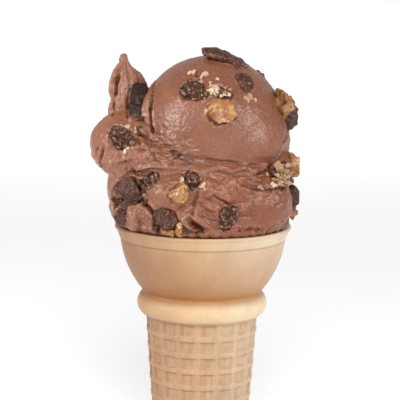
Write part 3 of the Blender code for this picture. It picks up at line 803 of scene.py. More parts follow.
def markShift(points, tree):
    shift = np.zeros(len(points))
    # no line runs straight
    waver = 0.22 * np.stack([grain(points, 1.9, seed, 2) for seed in (41, 42, 43)], axis=1)
    for stops, width, height, kind in marks:
        seen = [frontPoint(tree, x, z) for x, z in smoothRun(stops, 4 * len(stops))]
        line = [p for p in seen if p is not None]
        if len(line) < 2:
            continue
        line = np.array(line)
        near = nearLine(points, line, 6 * width)
        if not len(near):
            continue
        distance, side = lineDistance(points[near] + waver[near], line)
        bell = np.exp(-((distance / width) ** 2))
        if kind == "groove":
            found = -height * bell + 0.3 * height * np.exp(-(((distance - 2.0 * width) / width) ** 2))
        elif kind == "ridge":
            found = height * bell
        else:
            over = smoothStep(-0.35 * width, 0.35 * width, side)
            raised = 0.75 * over * np.exp(-((distance / (3.2 * width)) ** 2))
            found = height * (raised - 0.85 * (1 - over) * np.exp(-((distance / (1.1 * width)) ** 2)))
        # every mark fades out at its ends
        shift[near] += found * (0.25 + 0.75 * smoothStep(0.0, 2.2, fromEnds(points[near], line)))
    return shift


def dragShift(points, tree):
    shift = np.zeros(len(points))
    for (x, z), reach, angle, height in dragged:
        centre = frontPoint(tree, x, z)
        if centre is None:
            continue
        near = np.where(np.linalg.norm(points - centre, axis=1) < 2.2 * reach)[0]
        turn = math.radians(angle)
        along = np.array([math.cos(turn), 0, math.sin(turn)])
        across = np.array([-math.sin(turn), 0, math.cos(turn)])
        local = points[near] - centre
        drawn = np.stack([local @ along / 5.5, local @ across, local[:, 1] / 2.5], axis=1)
        weight = np.exp(-((np.linalg.norm(local, axis=1) / reach) ** 2))
        combed = grain(drawn, 0.85, abs(x) + z, 3) + 0.5 * grain(drawn, 0.4, x - z, 2)
        shift[near] += height * weight * combed
    return shift


# where the scoop tore the surface: how many tears, x and z ranges, their angle in degrees, strength
torn = [
    (46, (-21.0, -5.0), (110.5, 119.0), -18, 1.0),
    (54, (-27.0, 27.0), (88.5, 108.5), -25, 0.62),
    (16, (-33.0, -22.0), (104.0, 122.0), -50, 0.6),
]
tear = {"seed": 23, "length": (1.4, 4.2), "swing": 32, "width": (0.32, 0.6), "height": (0.25, 0.75)}
# folds over the sides and back: degrees from the front, half of the span in radians, rise over that half
backFolds = {
    "seed": 11,
    "count": 26,
    "bearing": (62, 298),
    "level": (90.5, 111.0),
    "span": (0.16, 0.5),
    "rise": (-3.5, 3.5),
    "width": (0.5, 0.9),
    "height": (0.5, 1.1),
}


def tornShift(points, tree):
    # short seeded tears and ridges: between lobe and ball, over the lower front, and on the lobe
    draw = random.Random(tear["seed"])
    shift = np.zeros(len(points))
    for count, across, up, angle, strength in torn:
        for _ in range(count):
            x, z = draw.uniform(*across), draw.uniform(*up)
            length, turn = draw.uniform(*tear["length"]), math.radians(draw.gauss(angle, tear["swing"]))
            width = draw.uniform(*tear["width"])
            height = strength * draw.uniform(*tear["height"]) * draw.choice((-1, -1, 1))
            line = []
            for t in (-0.5, 0.0, 0.5):
                run, rise = t * length * math.cos(turn), t * length * math.sin(turn)
                met = frontPoint(tree, x + run, z + rise + 0.5 * t * t)
                if met is not None:
                    line.append(met)
            if len(line) < 3 or np.ptp([p[1] for p in line]) > 4:
                continue
            line = np.array(line)
            near = np.where(np.linalg.norm(points - line[1], axis=1) < length / 2 + 3 * width)[0]
            distance, _ = lineDistance(points[near], line)
            shift[near] += height * np.exp(-((distance / width) ** 2))
    return shift


def sideAndBackShift(points, tree):
    # seeded folds, grooves and ridges over the sides and back of the lower mass
    draw = random.Random(backFolds["seed"])
    shift = np.zeros(len(points))
    lines = []
    for index in range(backFolds["count"]):
        bearing = math.radians(draw.uniform(*backFolds["bearing"]))
        z, span, rise = (draw.uniform(*backFolds[word]) for word in ("level", "span", "rise"))
        kind = draw.choice(["fold", "groove", "ridge", "fold"])
        stops = []
        for t in np.linspace(-1, 1, 9):
            met = aroundPoint(tree, bearing + span * t, z + rise * t + 1.2 * math.sin(3 * t + index))
            if met:
                stops.append(np.array(met))
        if len(stops) > 3:
            width, height = draw.uniform(*backFolds["width"]), draw.uniform(*backFolds["height"])
            lines.append((np.array(stops), width, height, kind))
    for line, width, height, kind in lines:
        near = nearLine(points, line, 5 * width)
        distance, _ = lineDistance(points[near], line)
        bell = np.exp(-((distance / width) ** 2))
        if kind == "groove":
            found = -height * bell
        elif kind == "ridge":
            found = 0.7 * height * bell
        else:
            over = smoothStep(-0.3, 0.3, points[near][:, 2] - line[:, 2].mean())
            found = height * (0.6 * over * np.exp(-((distance / (3 * width)) ** 2)) - 0.8 * (1 - over) * bell)
        shift[near] += found * smoothStep(0.0, 2.5, fromEnds(points[near], line))
    return shift


def seatInCone(points):
    # keeps the mass inside the wall below the rim, and lying on the rim where it reaches over
    w, gap = wafer, scoops["wallGap"]
    top = w["height"] + gap
    levels = [w["neckHeight"], w["height"] - w["bandHeight"], w["height"]]
    inside = [w[name] - w["wall"] - gap for name in ("neckRadius", "bowlRadius", "rimRadius")]
    radius = np.hypot(points[:, 0], points[:, 1])
    limit = np.interp(points[:, 2], levels, inside)
    past = (points[:, 2] < top) & (radius > limit)
    lift = past & (top - points[:, 2] < radius - limit)
    points[lift, 2] = top
    pull = past & ~lift
    points[pull, :2] *= (limit[pull] / radius[pull])[:, None]
    return points


def hugShift(points, pieces):
    # the surface dips under each piece and stands up in a thin broken lip round it
    sink = np.zeros(len(points))
    lip = hug["lip"] * np.clip(0.45 + 1.1 * grain(points, 2.4, 31, 2), 0.0, 1.3)
    for item in pieces:
        corners = coordinates(item.data)
        centre = corners.mean(axis=0)
        reach = np.linalg.norm(corners - centre, axis=1).max() + 3.0
        tree = treeOf(corners, facesOf(item.data))
        for index in np.where(np.linalg.norm(points - centre, axis=1) < reach)[0]:
            spot, normal, _, distance = tree.find_nearest(Vector(points[index]))
            if spot is None:
                continue
            inside = (Vector(points[index]) - spot).dot(normal) < 0
            if inside:
                sink[index] = min(sink[index], -min(distance + 0.15, hug["deepest"]))
            elif distance < 0.4 and lip[index] < hug["gapBelow"]:
                sink[index] = min(sink[index], -hug["gap"])
            elif sink[index] >= 0:
                bell = math.exp(-(((distance - hug["lipAway"]) / hug["lipWidth"]) ** 2))
                sink[index] = max(sink[index], lip[index] * bell)
    return sink


def iceCreamMaterial():
    material, tree, where = startMaterial("chocolateIceCream")
    across, _, height = splitNode(tree, where)
    swirl = noiseNode(tree, where, 0.07, 3.0, 0.5, 0.6)
    browns = [(0.32, (0.160, 0.053, 0.023)), (0.55, (0.185, 0.064, 0.029)), (0.75, (0.215, 0.080, 0.040))]
    fine = noiseNode(tree, where, 1.5, 4.0, 0.65)
    cocoa = noiseNode(tree, where, 2.8, 2.0, 0.5)
    # how much of each colour lies over the brown: milk, cocoa dots, painted shade in the hollows and the gaps
    # beside the pieces, a painted highlight on the crests
    layers = [
        (rangeNode(tree, fine, 0.45, 0.72, 0.0, 0.35), (0.28, 0.12, 0.070)),
        (rangeNode(tree, cocoa, 0.64, 0.72, 0.0, 0.5), (0.08, 0.026, 0.013)),
        (rangeNode(tree, storedNode(tree, "cavity"), 0.0, 1.0, 0.0, 0.85), (0.055, 0.016, 0.008)),
        (rangeNode(tree, storedNode(tree, "crest"), 0.0, 1.0, 0.0, 0.4), (0.30, 0.13, 0.075)),
    ]
    colour = layered(tree, rampNode(tree, swirl, browns), layers)
    # painted light and shade: a little lighter on the left, where the light falls, and a little darker low on
    # the right, where the mass turns down and away from it
    left = rangeNode(tree, across, -18.0, -34.0, 0.0, 1.0)
    colour = mixNode(tree, left, colour, (1.22, 1.26, 1.28), "MULTIPLY")
    low = rangeNode(tree, height, 110.0, 104.0, 0.0, 1.0)
    lowRightShade = mathNode(tree, "MULTIPLY", low, rangeNode(tree, across, -14.0, 4.0, 0.0, 1.0))
    cells = addNode(tree, "ShaderNodeTexVoronoi", feature="SMOOTH_F1", Vector=where, Scale=1.5)
    pits = cells.outputs["Distance"]
    icy = noiseNode(tree, where, 4.5, 2.0, 0.6)
    pitted = bumpNode(tree, fine, 0.45, 0.25, bumpNode(tree, pits, 0.5, 0.24))
    wanted = {
        "Base Color": mixNode(tree, lowRightShade, colour, (0.92, 0.71, 0.50), "MULTIPLY"),
        "Roughness": rangeNode(tree, fine, 0.35, 0.7, 0.20, 0.36),
        "Specular IOR Level": 0.52,
        "Subsurface Weight": 0.22,
        "Subsurface Radius": (1.0, 0.42, 0.25),
        "Subsurface Scale": 0.0016,
        "Normal": bumpNode(tree, icy, 0.3, 0.06, pitted),
    }
    return endMaterial(material, wanted)


def makeIceCream():
    item = lumpBody()
    keepBiggest(item.data)
    pieces = [node for name, node in nodes.items() if name not in bigNodes]
    points = coordinates(item.data)
    tree = treeOf(points, facesOf(item.data))
    out = normals(item.data)
    above = smoothStep(86.0, 88.5, points[:, 2])
    # 0 on the smooth ball and 1 away from it
    fromBall = np.linalg.norm((points - scoops["ballCentre"]) / scoops["ballRadii"], axis=1) - 1.0
    lower = smoothStep(0.015, 0.12, fromBall)
    calmBall = 0.2 + 0.8 * lower

    def uneven(word, seed, octaves):
        height, width = scoops[word]
        return height * grain(points, width, seed, octaves)

    shift = uneven("swells", 1, 3) * (0.35 + 0.65 * lower)
    shift += uneven("ripples", 2, 3) * calmBall
    shift += uneven("grain", 3, 2)
    shift += uneven("skirt", 17, 2) * smoothStep(91.0, 87.5, points[:, 2])
    cut = markShift(points, tree) + sideAndBackShift(points, tree) + tornShift(points, tree) * calmBall
    shift += cut + dragShift(points, tree)
    points = points + out * (shift * above)[:, None]
    sink = hugShift(points, pieces)
    points = points + out * (sink * above)[:, None]
    moveTo(item.data, seatInCone(points))
    smoothed(item, 1, 0.35)
    # how hollow or proud each place is, for the material to paint shade in the hollows and a highlight on the
    # crests
    total = cut + np.where(np.abs(sink + hug["gap"]) < 0.01, -0.9, np.minimum(sink, 0) * 0.3)
    storeValues(item.data, "cavity", np.clip(-total / 1.0, 0, 1))
    storeValues(item.data, "crest", np.clip(total / 0.9, 0, 1))
    # fewer faces where it is flat or hidden in the cone, so that it stays under 200,000 triangles
    thin = item.modifiers.new("thin", "DECIMATE")
    thin.ratio = scoops["keptFaces"]
    bake(item)
    item.data.materials.clear()
    item.data.materials.append(iceCreamMaterial())
    item.data.shade_smooth()
    return item


iceCream = makeIceCream()
print("ice cream made,", len(iceCream.data.polygons), "faces")


# the pieces in it

# each kind: how much it grows out, how finely it is made, rounds of smoothing at its corners,
# how many flat cuts and how deep, then what its surface is broken into:
# steps (width, height, crack) are flat chips with cracks between, beads (width, height) are rounded grains,
# and uneven (width, height) is soft waviness
kinds = {
    "chocolate": {
        "grow": 0.12,
        "voxel": 0.25,
        "rounding": 0,
        "cuts": (12, (0.08, 0.27)),
        "steps": [(4.6, 0.45, 0.05), (1.7, 0.16, 0.05)],
        "beads": [(0.75, 0.10)],
        "uneven": [(1.4, 0.1)],
    },
    "cookie": {
        "grow": 0.4,
        "voxel": 0.25,
        "rounding": 1,
        "cuts": (8, (0.04, 0.15)),
        "steps": [(2.6, 0.8, 0.15)],
        "beads": [(1.05, 0.42), (0.55, 0.26)],
        "uneven": [(2.4, 0.75)],
    },
    "nut": {
        "grow": 0.1,
        "voxel": 0.28,
        "rounding": 1,
        "cuts": (7, (0.04, 0.15)),
        "steps": [(4.2, 0.9, 0.2)],
        "beads": [(1.6, 0.3)],
        "uneven": [(2.8, 0.5), (0.9, 0.14)],
    },
    "toffee": {
        "grow": 0.2,
        "voxel": 0.28,
        "rounding": 0,
        "cuts": (11, (0.07, 0.23)),
        "steps": [(4.4, 0.9, 0.1), (2.0, 0.22, 0.0)],
        "beads": [],
        "uneven": [(3.0, 0.3), (0.9, 0.06)],
    },
}
kindOf = {"chip": "chocolate"}
# pieces whose outline the model already has are cut less
gentleCuts = (5, (0.03, 0.10))
cutLess = ("chocolate_flake", "chocolate_chip", "chocolate_right", "chocolate_wedge")
# how much further than their kind some pieces stand out
proudPieces = {
    "chocolate_chip": 0.5,
    "cookie_front": 0.4,
    "chocolate_flake": 0.25,
    "cookie_lower": 0.3,
    "cookie_left": 0.2,
    "chocolate_right": 0.3,
}
# pieces that are heaps: how many bits, their sizes, and how much cream colour the pale ones have
heaps = {"nut_upper": (40, (1.2, 2.5), 0.95), "nut_middle_right": (60, (1.5, 3.6), 0.35)}


def darkChocolateMaterial():
    material, tree, where = startMaterial("darkChocolate")
    blooms = [(0.34, (0.024, 0.008, 0.004)), (0.52, (0.055, 0.017, 0.009)), (0.68, (0.112, 0.038, 0.023))]
    fine = noiseNode(tree, where, 1.25, 4.0, 0.65)
    # a painted highlight on the standing edges, pale speckle, then painted shade on the marked side of the
    # wedge
    layers = [
        (rangeNode(tree, storedNode(tree, "proud"), 0.62, 0.95, 0.0, 0.65), (0.26, 0.125, 0.085)),
        (rangeNode(tree, fine, 0.58, 0.64, 0.0, 0.7), (0.28, 0.16, 0.115)),
        (storedNode(tree, "coated"), (0.022, 0.009, 0.006)),
    ]
    colour = rampNode(tree, noiseNode(tree, where, 0.5, 5.0, 0.65), blooms)
    wanted = {
        "Base Color": layered(tree, colour, layers),
        "Roughness": rangeNode(tree, fine, 0.3, 0.7, 0.28, 0.5),
        "Specular IOR Level": 0.22,
        "Normal": bumpNode(tree, fine, 0.6, 0.18),
    }
    return endMaterial(material, wanted)


def cookieMaterial():
    material, tree, where = startMaterial("darkCookie")
    crumb = noiseNode(tree, where, 0.85, 5.0, 0.8)
    darks = [(0.38, (0.016, 0.005, 0.003)), (0.50, (0.052, 0.016, 0.009))]
    darks += [(0.585, (0.12, 0.045, 0.025)), (0.63, (0.56, 0.42, 0.31))]
    # painted highlight: the standing edges lighter
    edges = rangeNode(tree, storedNode(tree, "proud"), 0.6, 1.0, 0.0, 0.5)
    fine = noiseNode(tree, where, 3.4, 3.0, 0.6)
    wanted = {
        "Base Color": mixNode(tree, edges, rampNode(tree, crumb, darks), (0.28, 0.15, 0.10)),
        "Roughness": rangeNode(tree, fine, 0.3, 0.7, 0.28, 0.7),
        "Specular IOR Level": 0.16,
        "Normal": bumpNode(tree, crumb, 0.8, 0.35),
    }
    return endMaterial(material, wanted)


def nutMaterial():
    material, tree, where = startMaterial("roastedNut")
    browns = [(0.32, (0.095, 0.032, 0.009)), (0.43, (0.18, 0.070, 0.019))]
    browns += [(0.56, (0.26, 0.112, 0.034)), (0.72, (0.36, 0.185, 0.070))]
    spots = noiseNode(tree, where, 1.2, 3.0, 0.7)
    proud = storedNode(tree, "proud")
    # dark spots, a painted highlight on the edges, painted shade in the hollows, the bits that are cream
    # coloured and those coated in chocolate
    layers = [
        (rangeNode(tree, spots, 0.56, 0.68, 0.0, 0.8), (0.085, 0.028, 0.012)),
        (rangeNode(tree, proud, 0.6, 1.0, 0.0, 0.6), (0.48, 0.30, 0.16)),
        (rangeNode(tree, proud, 0.0, 0.38, 0.8, 0.0), (0.085, 0.028, 0.012)),
        (storedNode(tree, "cream"), (0.60, 0.44, 0.29)),
        (storedNode(tree, "coated"), (0.050, 0.018, 0.011)),
    ]
    colour = rampNode(tree, noiseNode(tree, where, 0.34, 4.0, 0.6), browns)
    wanted = {
        "Base Color": layered(tree, colour, layers),
        "Roughness": rangeNode(tree, spots, 0.3, 0.7, 0.30, 0.55),
        "Specular IOR Level": 0.4,
        "Subsurface Weight": 0.15,
        "Subsurface Radius": (1.0, 0.55, 0.2),
        "Subsurface Scale": 0.001,
        "Normal": bumpNode(tree, spots, 0.5, 0.2),
    }
    return endMaterial(material, wanted)


def toffeeMaterial():
    material, tree, where = startMaterial("toffee")
    ambers = [(0.32, (0.21, 0.076, 0.019)), (0.47, (0.31, 0.132, 0.040)), (0.66, (0.42, 0.220, 0.082))]
    colour = rampNode(tree, noiseNode(tree, where, 0.28, 3.0, 0.55), ambers)
    burnt = rangeNode(tree, noiseNode(tree, where, 0.85, 2.0, 0.5), 0.60, 0.68, 0.0, 0.8)
    colour = mixNode(tree, burnt, colour, (0.13, 0.033, 0.012))
    # painted highlight: the standing edges lighter
    edges = rangeNode(tree, storedNode(tree, "proud"), 0.6, 1.0, 0.0, 0.45)
    wanted = {
        "Base Color": mixNode(tree, edges, colour, (0.72, 0.54, 0.33)),
        "Roughness": 0.3,
        "Subsurface Weight": 0.3,
        "Subsurface Radius": (1.0, 0.5, 0.15),
        "Subsurface Scale": 0.0018,
        "Coat Weight": 0.12,
        "Coat Roughness": 0.2,
        "Normal": bumpNode(tree, noiseNode(tree, where, 0.8, 3.0, 0.5), 0.3, 0.25),
    }
    return endMaterial(material, wanted)


finishes = {
    "chocolate": darkChocolateMaterial(),
    "cookie": cookieMaterial(),
    "nut": nutMaterial(),
    "toffee": toffeeMaterial(),
}


def closedCopy(node):
    # the model's mesh comes as loose triangles, so they are joined first
    shape = bmesh.new()
    shape.from_mesh(node.data)
    bmesh.ops.remove_doubles(shape, verts=shape.verts, dist=0.00002)
    bmesh.ops.dissolve_limit(shape, angle_limit=math.radians(12), verts=shape.verts, edges=shape.edges)
    bmesh.ops.triangulate(shape, faces=shape.faces)
    return shape


def markProud(item, rounds=8, reach=0.25):
    # stores how far each place stands out of its surroundings, for the materials to paint a highlight on the
    # edges and shade in the hollows
    before, out = coordinates(item.data), normals(item.data)
    copy = addObject("settled", item.data.copy())
    smoothed(copy, rounds)
    proud = ((before - coordinates(copy.data)) * out).sum(axis=1) / reach
    bpy.data.objects.remove(copy, do_unlink=True)
    storeValues(item.data, "proud", np.clip(proud * 0.5 + 0.5, 0, 1))


def brokenSurface(item, values, seed, extra):
    points, out = coordinates(item.data), normals(item.data)
    shift = np.zeros(len(points))
    for width, height, crack in values["steps"]:
        wavered = points + 0.3 * width * grain(points, width, seed, 1)[:, None]
        first, second, number, lean = cellField(wavered, width, seed)
        edge = smoothStep(0.0, 0.14, second - first)
        shift += height * ((number - 0.5 + lean) * edge - crack * (1 - edge))
    for width, height in values["beads"]:
        first, _, number, _ = cellField(points, width, seed + 4)
        shift += height * (0.5 - first) * (0.5 + number)
    for width, height in values["uneven"]:
        shift += height * grain(points, width, seed + 9, 2)
    moveTo(item.data, points + out * (shift - np.median(shift) + values["grow"] + extra)[:, None])


def coatAndShadeSide(item, towards, share):
    # marks the share of a piece, on the side towards a direction, that is made near black: a chocolate
    # coating on a nut, painted shade on the wedge
    points = coordinates(item.data)
    along = (points - points.mean(axis=0)) @ (np.array(towards) / np.linalg.norm(towards))
    along += 0.8 * grain(points, 2.2, 3, 2)
    limit = np.quantile(along, 1 - share)
    storeValues(item.data, "coated", smoothStep(limit - 0.15, limit + 0.15, along))


def makePiece(node, name, kind, seed):
    values = kinds[kind]
    item = addObject(name, meshFrom(name, closedCopy(node)))
    remeshed(item, values["voxel"])
    smoothed(item, 1 + values["rounding"])
    cuts = gentleCuts if node.name in cutLess else values["cuts"]
    moveTo(item.data, cutFlat(coordinates(item.data), *cuts, seed))
    brokenSurface(item, values, seed, proudPieces.get(node.name, 0.0))
    smoothed(item, 1, 0.3)
    markProud(item)
    item.data.materials.clear()
    item.data.materials.append(finishes[kind])
    item.data.shade_smooth()
    return item


bitCuts = (11, (0.08, 0.30))


def addBit(shape, centre, radii, seed):
    # one broken bit: a lump with flat cuts, turned at random; gives the number of its corners
    draw = random.Random(seed)
    lump = bmesh.ops.create_icosphere(shape, subdivisions=4, radius=1.0)["verts"]
    points = cutFlat(np.array([v.co for v in lump]), *bitCuts, seed)
    points += 0.05 * grain(points, 0.45, seed, 2)[:, None] * points
    angle = draw.uniform(0, math.tau)
    turn = Matrix.Rotation(angle, 3, Vector([draw.gauss(0, 1) for _ in range(3)]).normalized())
    points = points @ np.array(turn)
    for vertex, point in zip(lump, points * radii + np.array(centre)):
        vertex.co = point * mm
    return len(lump)


def finishBits(shape, name, kind, marks):
    item = addObject(name, meshFrom(name, shape))
    markProud(item, 4, 0.35)
    for word, values in marks.items():
        storeValues(item.data, word, values)
    item.data.materials.append(finishes[kind])
    item.data.shade_smooth()
    return item


def bitHeap(node, name, kind, seed, count, sizes, paleness):
    # a small heap of separate bits that together fill the space of one node, some pale, some coated
    draw = random.Random(seed)
    corners = coordinates(node.data)
    centre = corners.mean(axis=0)
    axes = np.linalg.svd(corners - centre, full_matrices=False)[2]
    half = np.ptp((corners - centre) @ axes.T, axis=0) / 2
    if axes[2] @ (centre - (1.0, 0.0, min(max(centre[2], 95.0), 120.0))) < 0:
        axes[2] = -axes[2]
    shape = bmesh.new()
    marks = {"cream": [], "coated": []}
    for index in range(count):
        size = draw.uniform(*sizes)
        # the bits wind outwards by the golden angle
        angle, reach = index * 2.4, math.sqrt((index + 0.5) / count)
        spot = np.array([math.cos(angle) * reach, math.sin(angle) * reach, draw.uniform(0.2, 1.3)])
        spot = spot * np.maximum(half - size / 4, 0.6)
        radii = size * np.array([draw.uniform(*pair) for pair in ((0.45, 0.62), (0.36, 0.5), (0.32, 0.45))])
        corners = addBit(shape, centre + spot @ axes, radii, seed * 100 + index)
        kindDraw = draw.random()
        marks["cream"] += [paleness if kindDraw < 0.5 else 0.1] * corners
        marks["coated"] += [0.9 if kindDraw > 0.82 else 0.0] * corners
    return finishBits(shape, name, kind, marks)


def camelName(text):
    first, *rest = text.split("_")
    return first + "".join(word.capitalize() for word in rest)


def kindFor(name):
    word = name.split("_")[0]
    return kindOf.get(word, word)


toppings = {}
for seed, name in enumerate(sorted(name for name in nodes if name not in bigNodes)):
    given = (nodes[name], camelName(name), kindFor(name), seed)
    toppings[name] = bitHeap(*given, *heaps[name]) if name in heaps else makePiece(*given)
coatAndShadeSide(toppings["nut_upper_right"], (1.0, -0.2, -0.75), 0.3)
# painted shade: the upper share of the wedge made near black
coatAndShadeSide(toppings["chocolate_wedge"], (0.3, -0.3, 1.0), 0.55)
print(len(toppings), "pieces made,", sum(len(t.data.polygons) for t in toppings.values()), "faces")


# crumbs

# spots on the front as (x, z), how many, how far they spread, and their size
paleCrumbs = {
    "seed": 5,
    "spots": [
        ((-4.6, 140.3), 2, 1.0, 1.5), ((-0.6, 139.4), 2, 1.0, 2.2), ((-1.2, 136.9), 2, 0.6, 1.3),
        ((3.4, 143.2), 2, 1.0, 1.1), ((3.0, 134.0), 12, 3.6, 1.3), ((-1.5, 133.0), 5, 1.2, 0.9),
        ((14.2, 131.6), 3, 1.3, 1.5), ((16.6, 131.4), 2, 0.8, 1.2), ((-25.6, 121.8), 1, 0.3, 2.1),
        ((-23.4, 120.6), 1, 0.3, 2.4), ((-26.2, 115.8), 10, 1.7, 1.6), ((-28.6, 116.8), 2, 1.0, 1.0),
        ((-7.2, 105.4), 1, 0.2, 2.4), ((-0.6, 103.9), 1, 0.2, 2.0), ((0.6, 102.6), 1, 0.3, 1.2),
        ((-13.2, 90.3), 3, 0.9, 2.4), ((-12.6, 88.6), 2, 0.6, 2.2), ((-7.6, 89.6), 2, 0.7, 2.3),
        ((-7.9, 88.4), 1, 0.5, 1.9), ((22.5, 104.6), 4, 2.8, 1.3), ((25.2, 107.0), 2, 1.6, 1.2),
        ((19.6, 102.6), 2, 1.2, 1.1),
    ],
    "behind": 46,
    "behindSize": 1.4,
}
darkCrumbs = {
    "seed": 8,
    "spots": [
        ((-3.2, 135.6), 8, 2.6, 1.0), ((24.4, 137.0), 2, 1.0, 1.8), ((26.6, 134.6), 3, 1.0, 1.5),
        ((0.6, 132.6), 5, 2.4, 0.9), ((-28.4, 119.4), 7, 2.0, 1.0), ((-25.4, 116.8), 4, 1.2, 0.9),
        ((-4.4, 105.0), 5, 1.6, 0.9), ((-19.4, 97.6), 3, 1.4, 1.3), ((-27.8, 96.2), 6, 2.2, 1.3),
        ((8.1, 90.2), 6, 1.6, 1.0), ((-12.0, 91.0), 5, 1.8, 1.3), ((-16.2, 88.6), 3, 0.9, 1.6),
        ((-2.6, 88.8), 4, 1.2, 1.5), ((17.6, 143.0), 2, 1.0, 1.0), ((11.2, 141.8), 3, 1.0, 1.0),
        ((23.0, 103.2), 5, 2.2, 1.1),
    ],
    "behind": 40,
    "behindSize": 1.3,
}
# how crumbs vary: shares of their size, degrees from the front and heights behind, and where none may lie
crumbs = {
    "frontShare": (0.65, 1.2),
    "behindShare": (0.5, 1.3),
    "bearing": (100, 248),
    "level": (90.0, 140.0),
    "lowest": 88.0,
    "peakRight": -22,
    "peakFoot": 122,
    "roughness": 1.1,
}


def crumbTree(name):
    # a broken crumb on every point, sized by the point's own "size" and turned at random
    tree, given = startTree(name, [("roughness", "Float"), ("seed", "Int"), ("material", "Material")])

    def scaled(vector, scale):
        return addNode(tree, "ShaderNodeVectorMath", vector, operation="SCALE", Scale=scale).outputs[0]

    def drawn(low, high):
        settings = {"data_type": "FLOAT_VECTOR", "Seed": given["seed"]}
        return addNode(tree, "FunctionNodeRandomValue", low, high, **settings).outputs[0]

    ball = addNode(tree, "GeometryNodeMeshIcoSphere", Radius=0.5, Subdivisions=3).outputs["Mesh"]
    spots = addNode(tree, "GeometryNodeMeshToPoints", Mesh=given["Geometry"]).outputs["Points"]
    size = addNode(tree, "GeometryNodeInputNamedAttribute", data_type="FLOAT", Name="size").outputs[0]
    stretch = scaled(drawn((0.75, 0.6, 0.5), (1.25, 1.0, 0.85)), size)
    spin = drawn((0.0, 0.0, 0.0), (math.tau, math.tau, math.tau))
    placed = {"Points": spots, "Instance": ball, "Scale": stretch, "Rotation": spin}
    placed = addNode(tree, "GeometryNodeInstanceOnPoints", **placed).outputs[0]
    real = addNode(tree, "GeometryNodeRealizeInstances", placed).outputs[0]
    # each crumb is broken differently, by cells at its own place
    position = scaled(addNode(tree, "GeometryNodeInputPosition").outputs[0], 1000.0)
    chips = addNode(tree, "ShaderNodeTexVoronoi", Vector=position, Scale=1.1).outputs["Distance"]
    amount = mathNode(tree, "MULTIPLY", mathNode(tree, "SUBTRACT", chips, 0.45), given["roughness"])
    push = scaled(addNode(tree, "GeometryNodeInputNormal").outputs[0], amount)
    broken = addNode(tree, "GeometryNodeSetPosition", Geometry=real, Offset=push).outputs[0]
    return endTree(tree, broken, given["material"])


def paleCrumbMaterial():
    material, tree, where = startMaterial("paleNutCrumb")
    mottled = noiseNode(tree, where, 0.8, 4.0, 0.6)
    pales = [(0.34, (0.25, 0.12, 0.055)), (0.48, (0.44, 0.275, 0.160)), (0.64, (0.62, 0.465, 0.325))]
    wanted = {
        "Base Color": rampNode(tree, mottled, pales),
        "Roughness": 0.48,
        "Subsurface Weight": 0.2,
        "Subsurface Radius": (1.0, 0.6, 0.3),
        "Subsurface Scale": 0.0008,
        "Normal": bumpNode(tree, noiseNode(tree, where, 2.4, 3.0, 0.6), 0.5, 0.15),
    }
    return endMaterial(material, wanted)


def makeCrumbs(name, values, tree, material):
    draw = random.Random(values["seed"])
    spots = []
    for (x, z), count, spread, size in values["spots"]:
        for _ in range(count):
            met = frontPoint(tree, x + draw.gauss(0, spread / 2), z + draw.gauss(0, spread / 2))
            if met is not None:
                spots.append((Vector(met), size * draw.uniform(*crumbs["frontShare"])))
    for _ in range(values["behind"]):
        bearing, z = math.radians(draw.uniform(*crumbs["bearing"])), draw.uniform(*crumbs["level"])
        met = aroundPoint(tree, bearing, z)
        if met:
            spots.append((met, values["behindSize"] * draw.uniform(*crumbs["behindShare"])))
    # none on the rim or on the peak
    spots = [(p, s) for p, s in spots if not (p.x < crumbs["peakRight"] and p.z > crumbs["peakFoot"])]
    spots = [(p, s) for p, s in spots if p.z > crumbs["lowest"]]
    cloud = bpy.data.meshes.new(name)
    cloud.from_pydata([p * mm for p, _ in spots], [], [])
    storeValues(cloud, "size", [s * mm for _, s in spots])
    item = addObject(name, cloud)
    scatter = item.modifiers.new("scatter", "NODES")
    scatter.node_group = crumbTree(name)
    setInput(scatter, "roughness", crumbs["roughness"] * mm)
    setInput(scatter, "seed", values["seed"])
    setInput(scatter, "material", material)
    bake(item)
    return item


surface = treeOf(coordinates(iceCream.data), facesOf(iceCream.data))
nutCrumbs = makeCrumbs("nutCrumbs", paleCrumbs, surface, paleCrumbMaterial())
cookieCrumbs = makeCrumbs("cookieCrumbs", darkCrumbs, surface, finishes["cookie"])

# broken bits too small for pieces of their own: front place (x, z) and the size
chocolateBits = {
    "seed": 61,
    "places": [
        ((-20.4, 103.0), 3.8), ((-19.4, 100.8), 2.8), ((-21.6, 99.4), 2.6), ((-23.2, 97.2), 3.4),
        ((-25.4, 94.8), 4.6), ((-26.4, 92.2), 4.4), ((-27.4, 90.4), 3.6), ((-28.8, 94.6), 4.0),
        ((-30.6, 96.2), 2.0), ((-17.8, 104.4), 2.0), ((-14.6, 90.2), 2.4), ((-16.0, 94.0), 1.8),
        ((-11.0, 90.0), 2.2), ((-22.3, 123.6), 2.6), ((-22.0, 121.2), 2.0), ((-27.2, 120.2), 2.0),
        ((-25.6, 117.4), 1.6), ((-29.6, 98.4), 1.6), ((24.8, 103.2), 2.2), ((22.0, 101.6), 1.8),
        ((7.2, 88.9), 1.8),
    ],
}
# what leans over the rim: centre and half sizes
rimBits = {
    "seed": 77,
    "toffee": [
        ((-12.8, -28.0, 88.9), (1.5, 1.3, 2.6)),
        ((-7.8, -29.4, 88.6), (1.4, 1.2, 2.2)),
        ((-10.6, -28.7, 87.5), (1.5, 1.1, 1.1)),
    ],
    "chocolate": [
        ((-3.4, -29.7, 88.4), (2.6, 1.2, 1.6)),
        ((-10.2, -27.7, 91.0), (1.9, 1.4, 1.4)),
        ((-15.4, -26.2, 88.2), (1.3, 1.2, 1.5)),
    ],
}


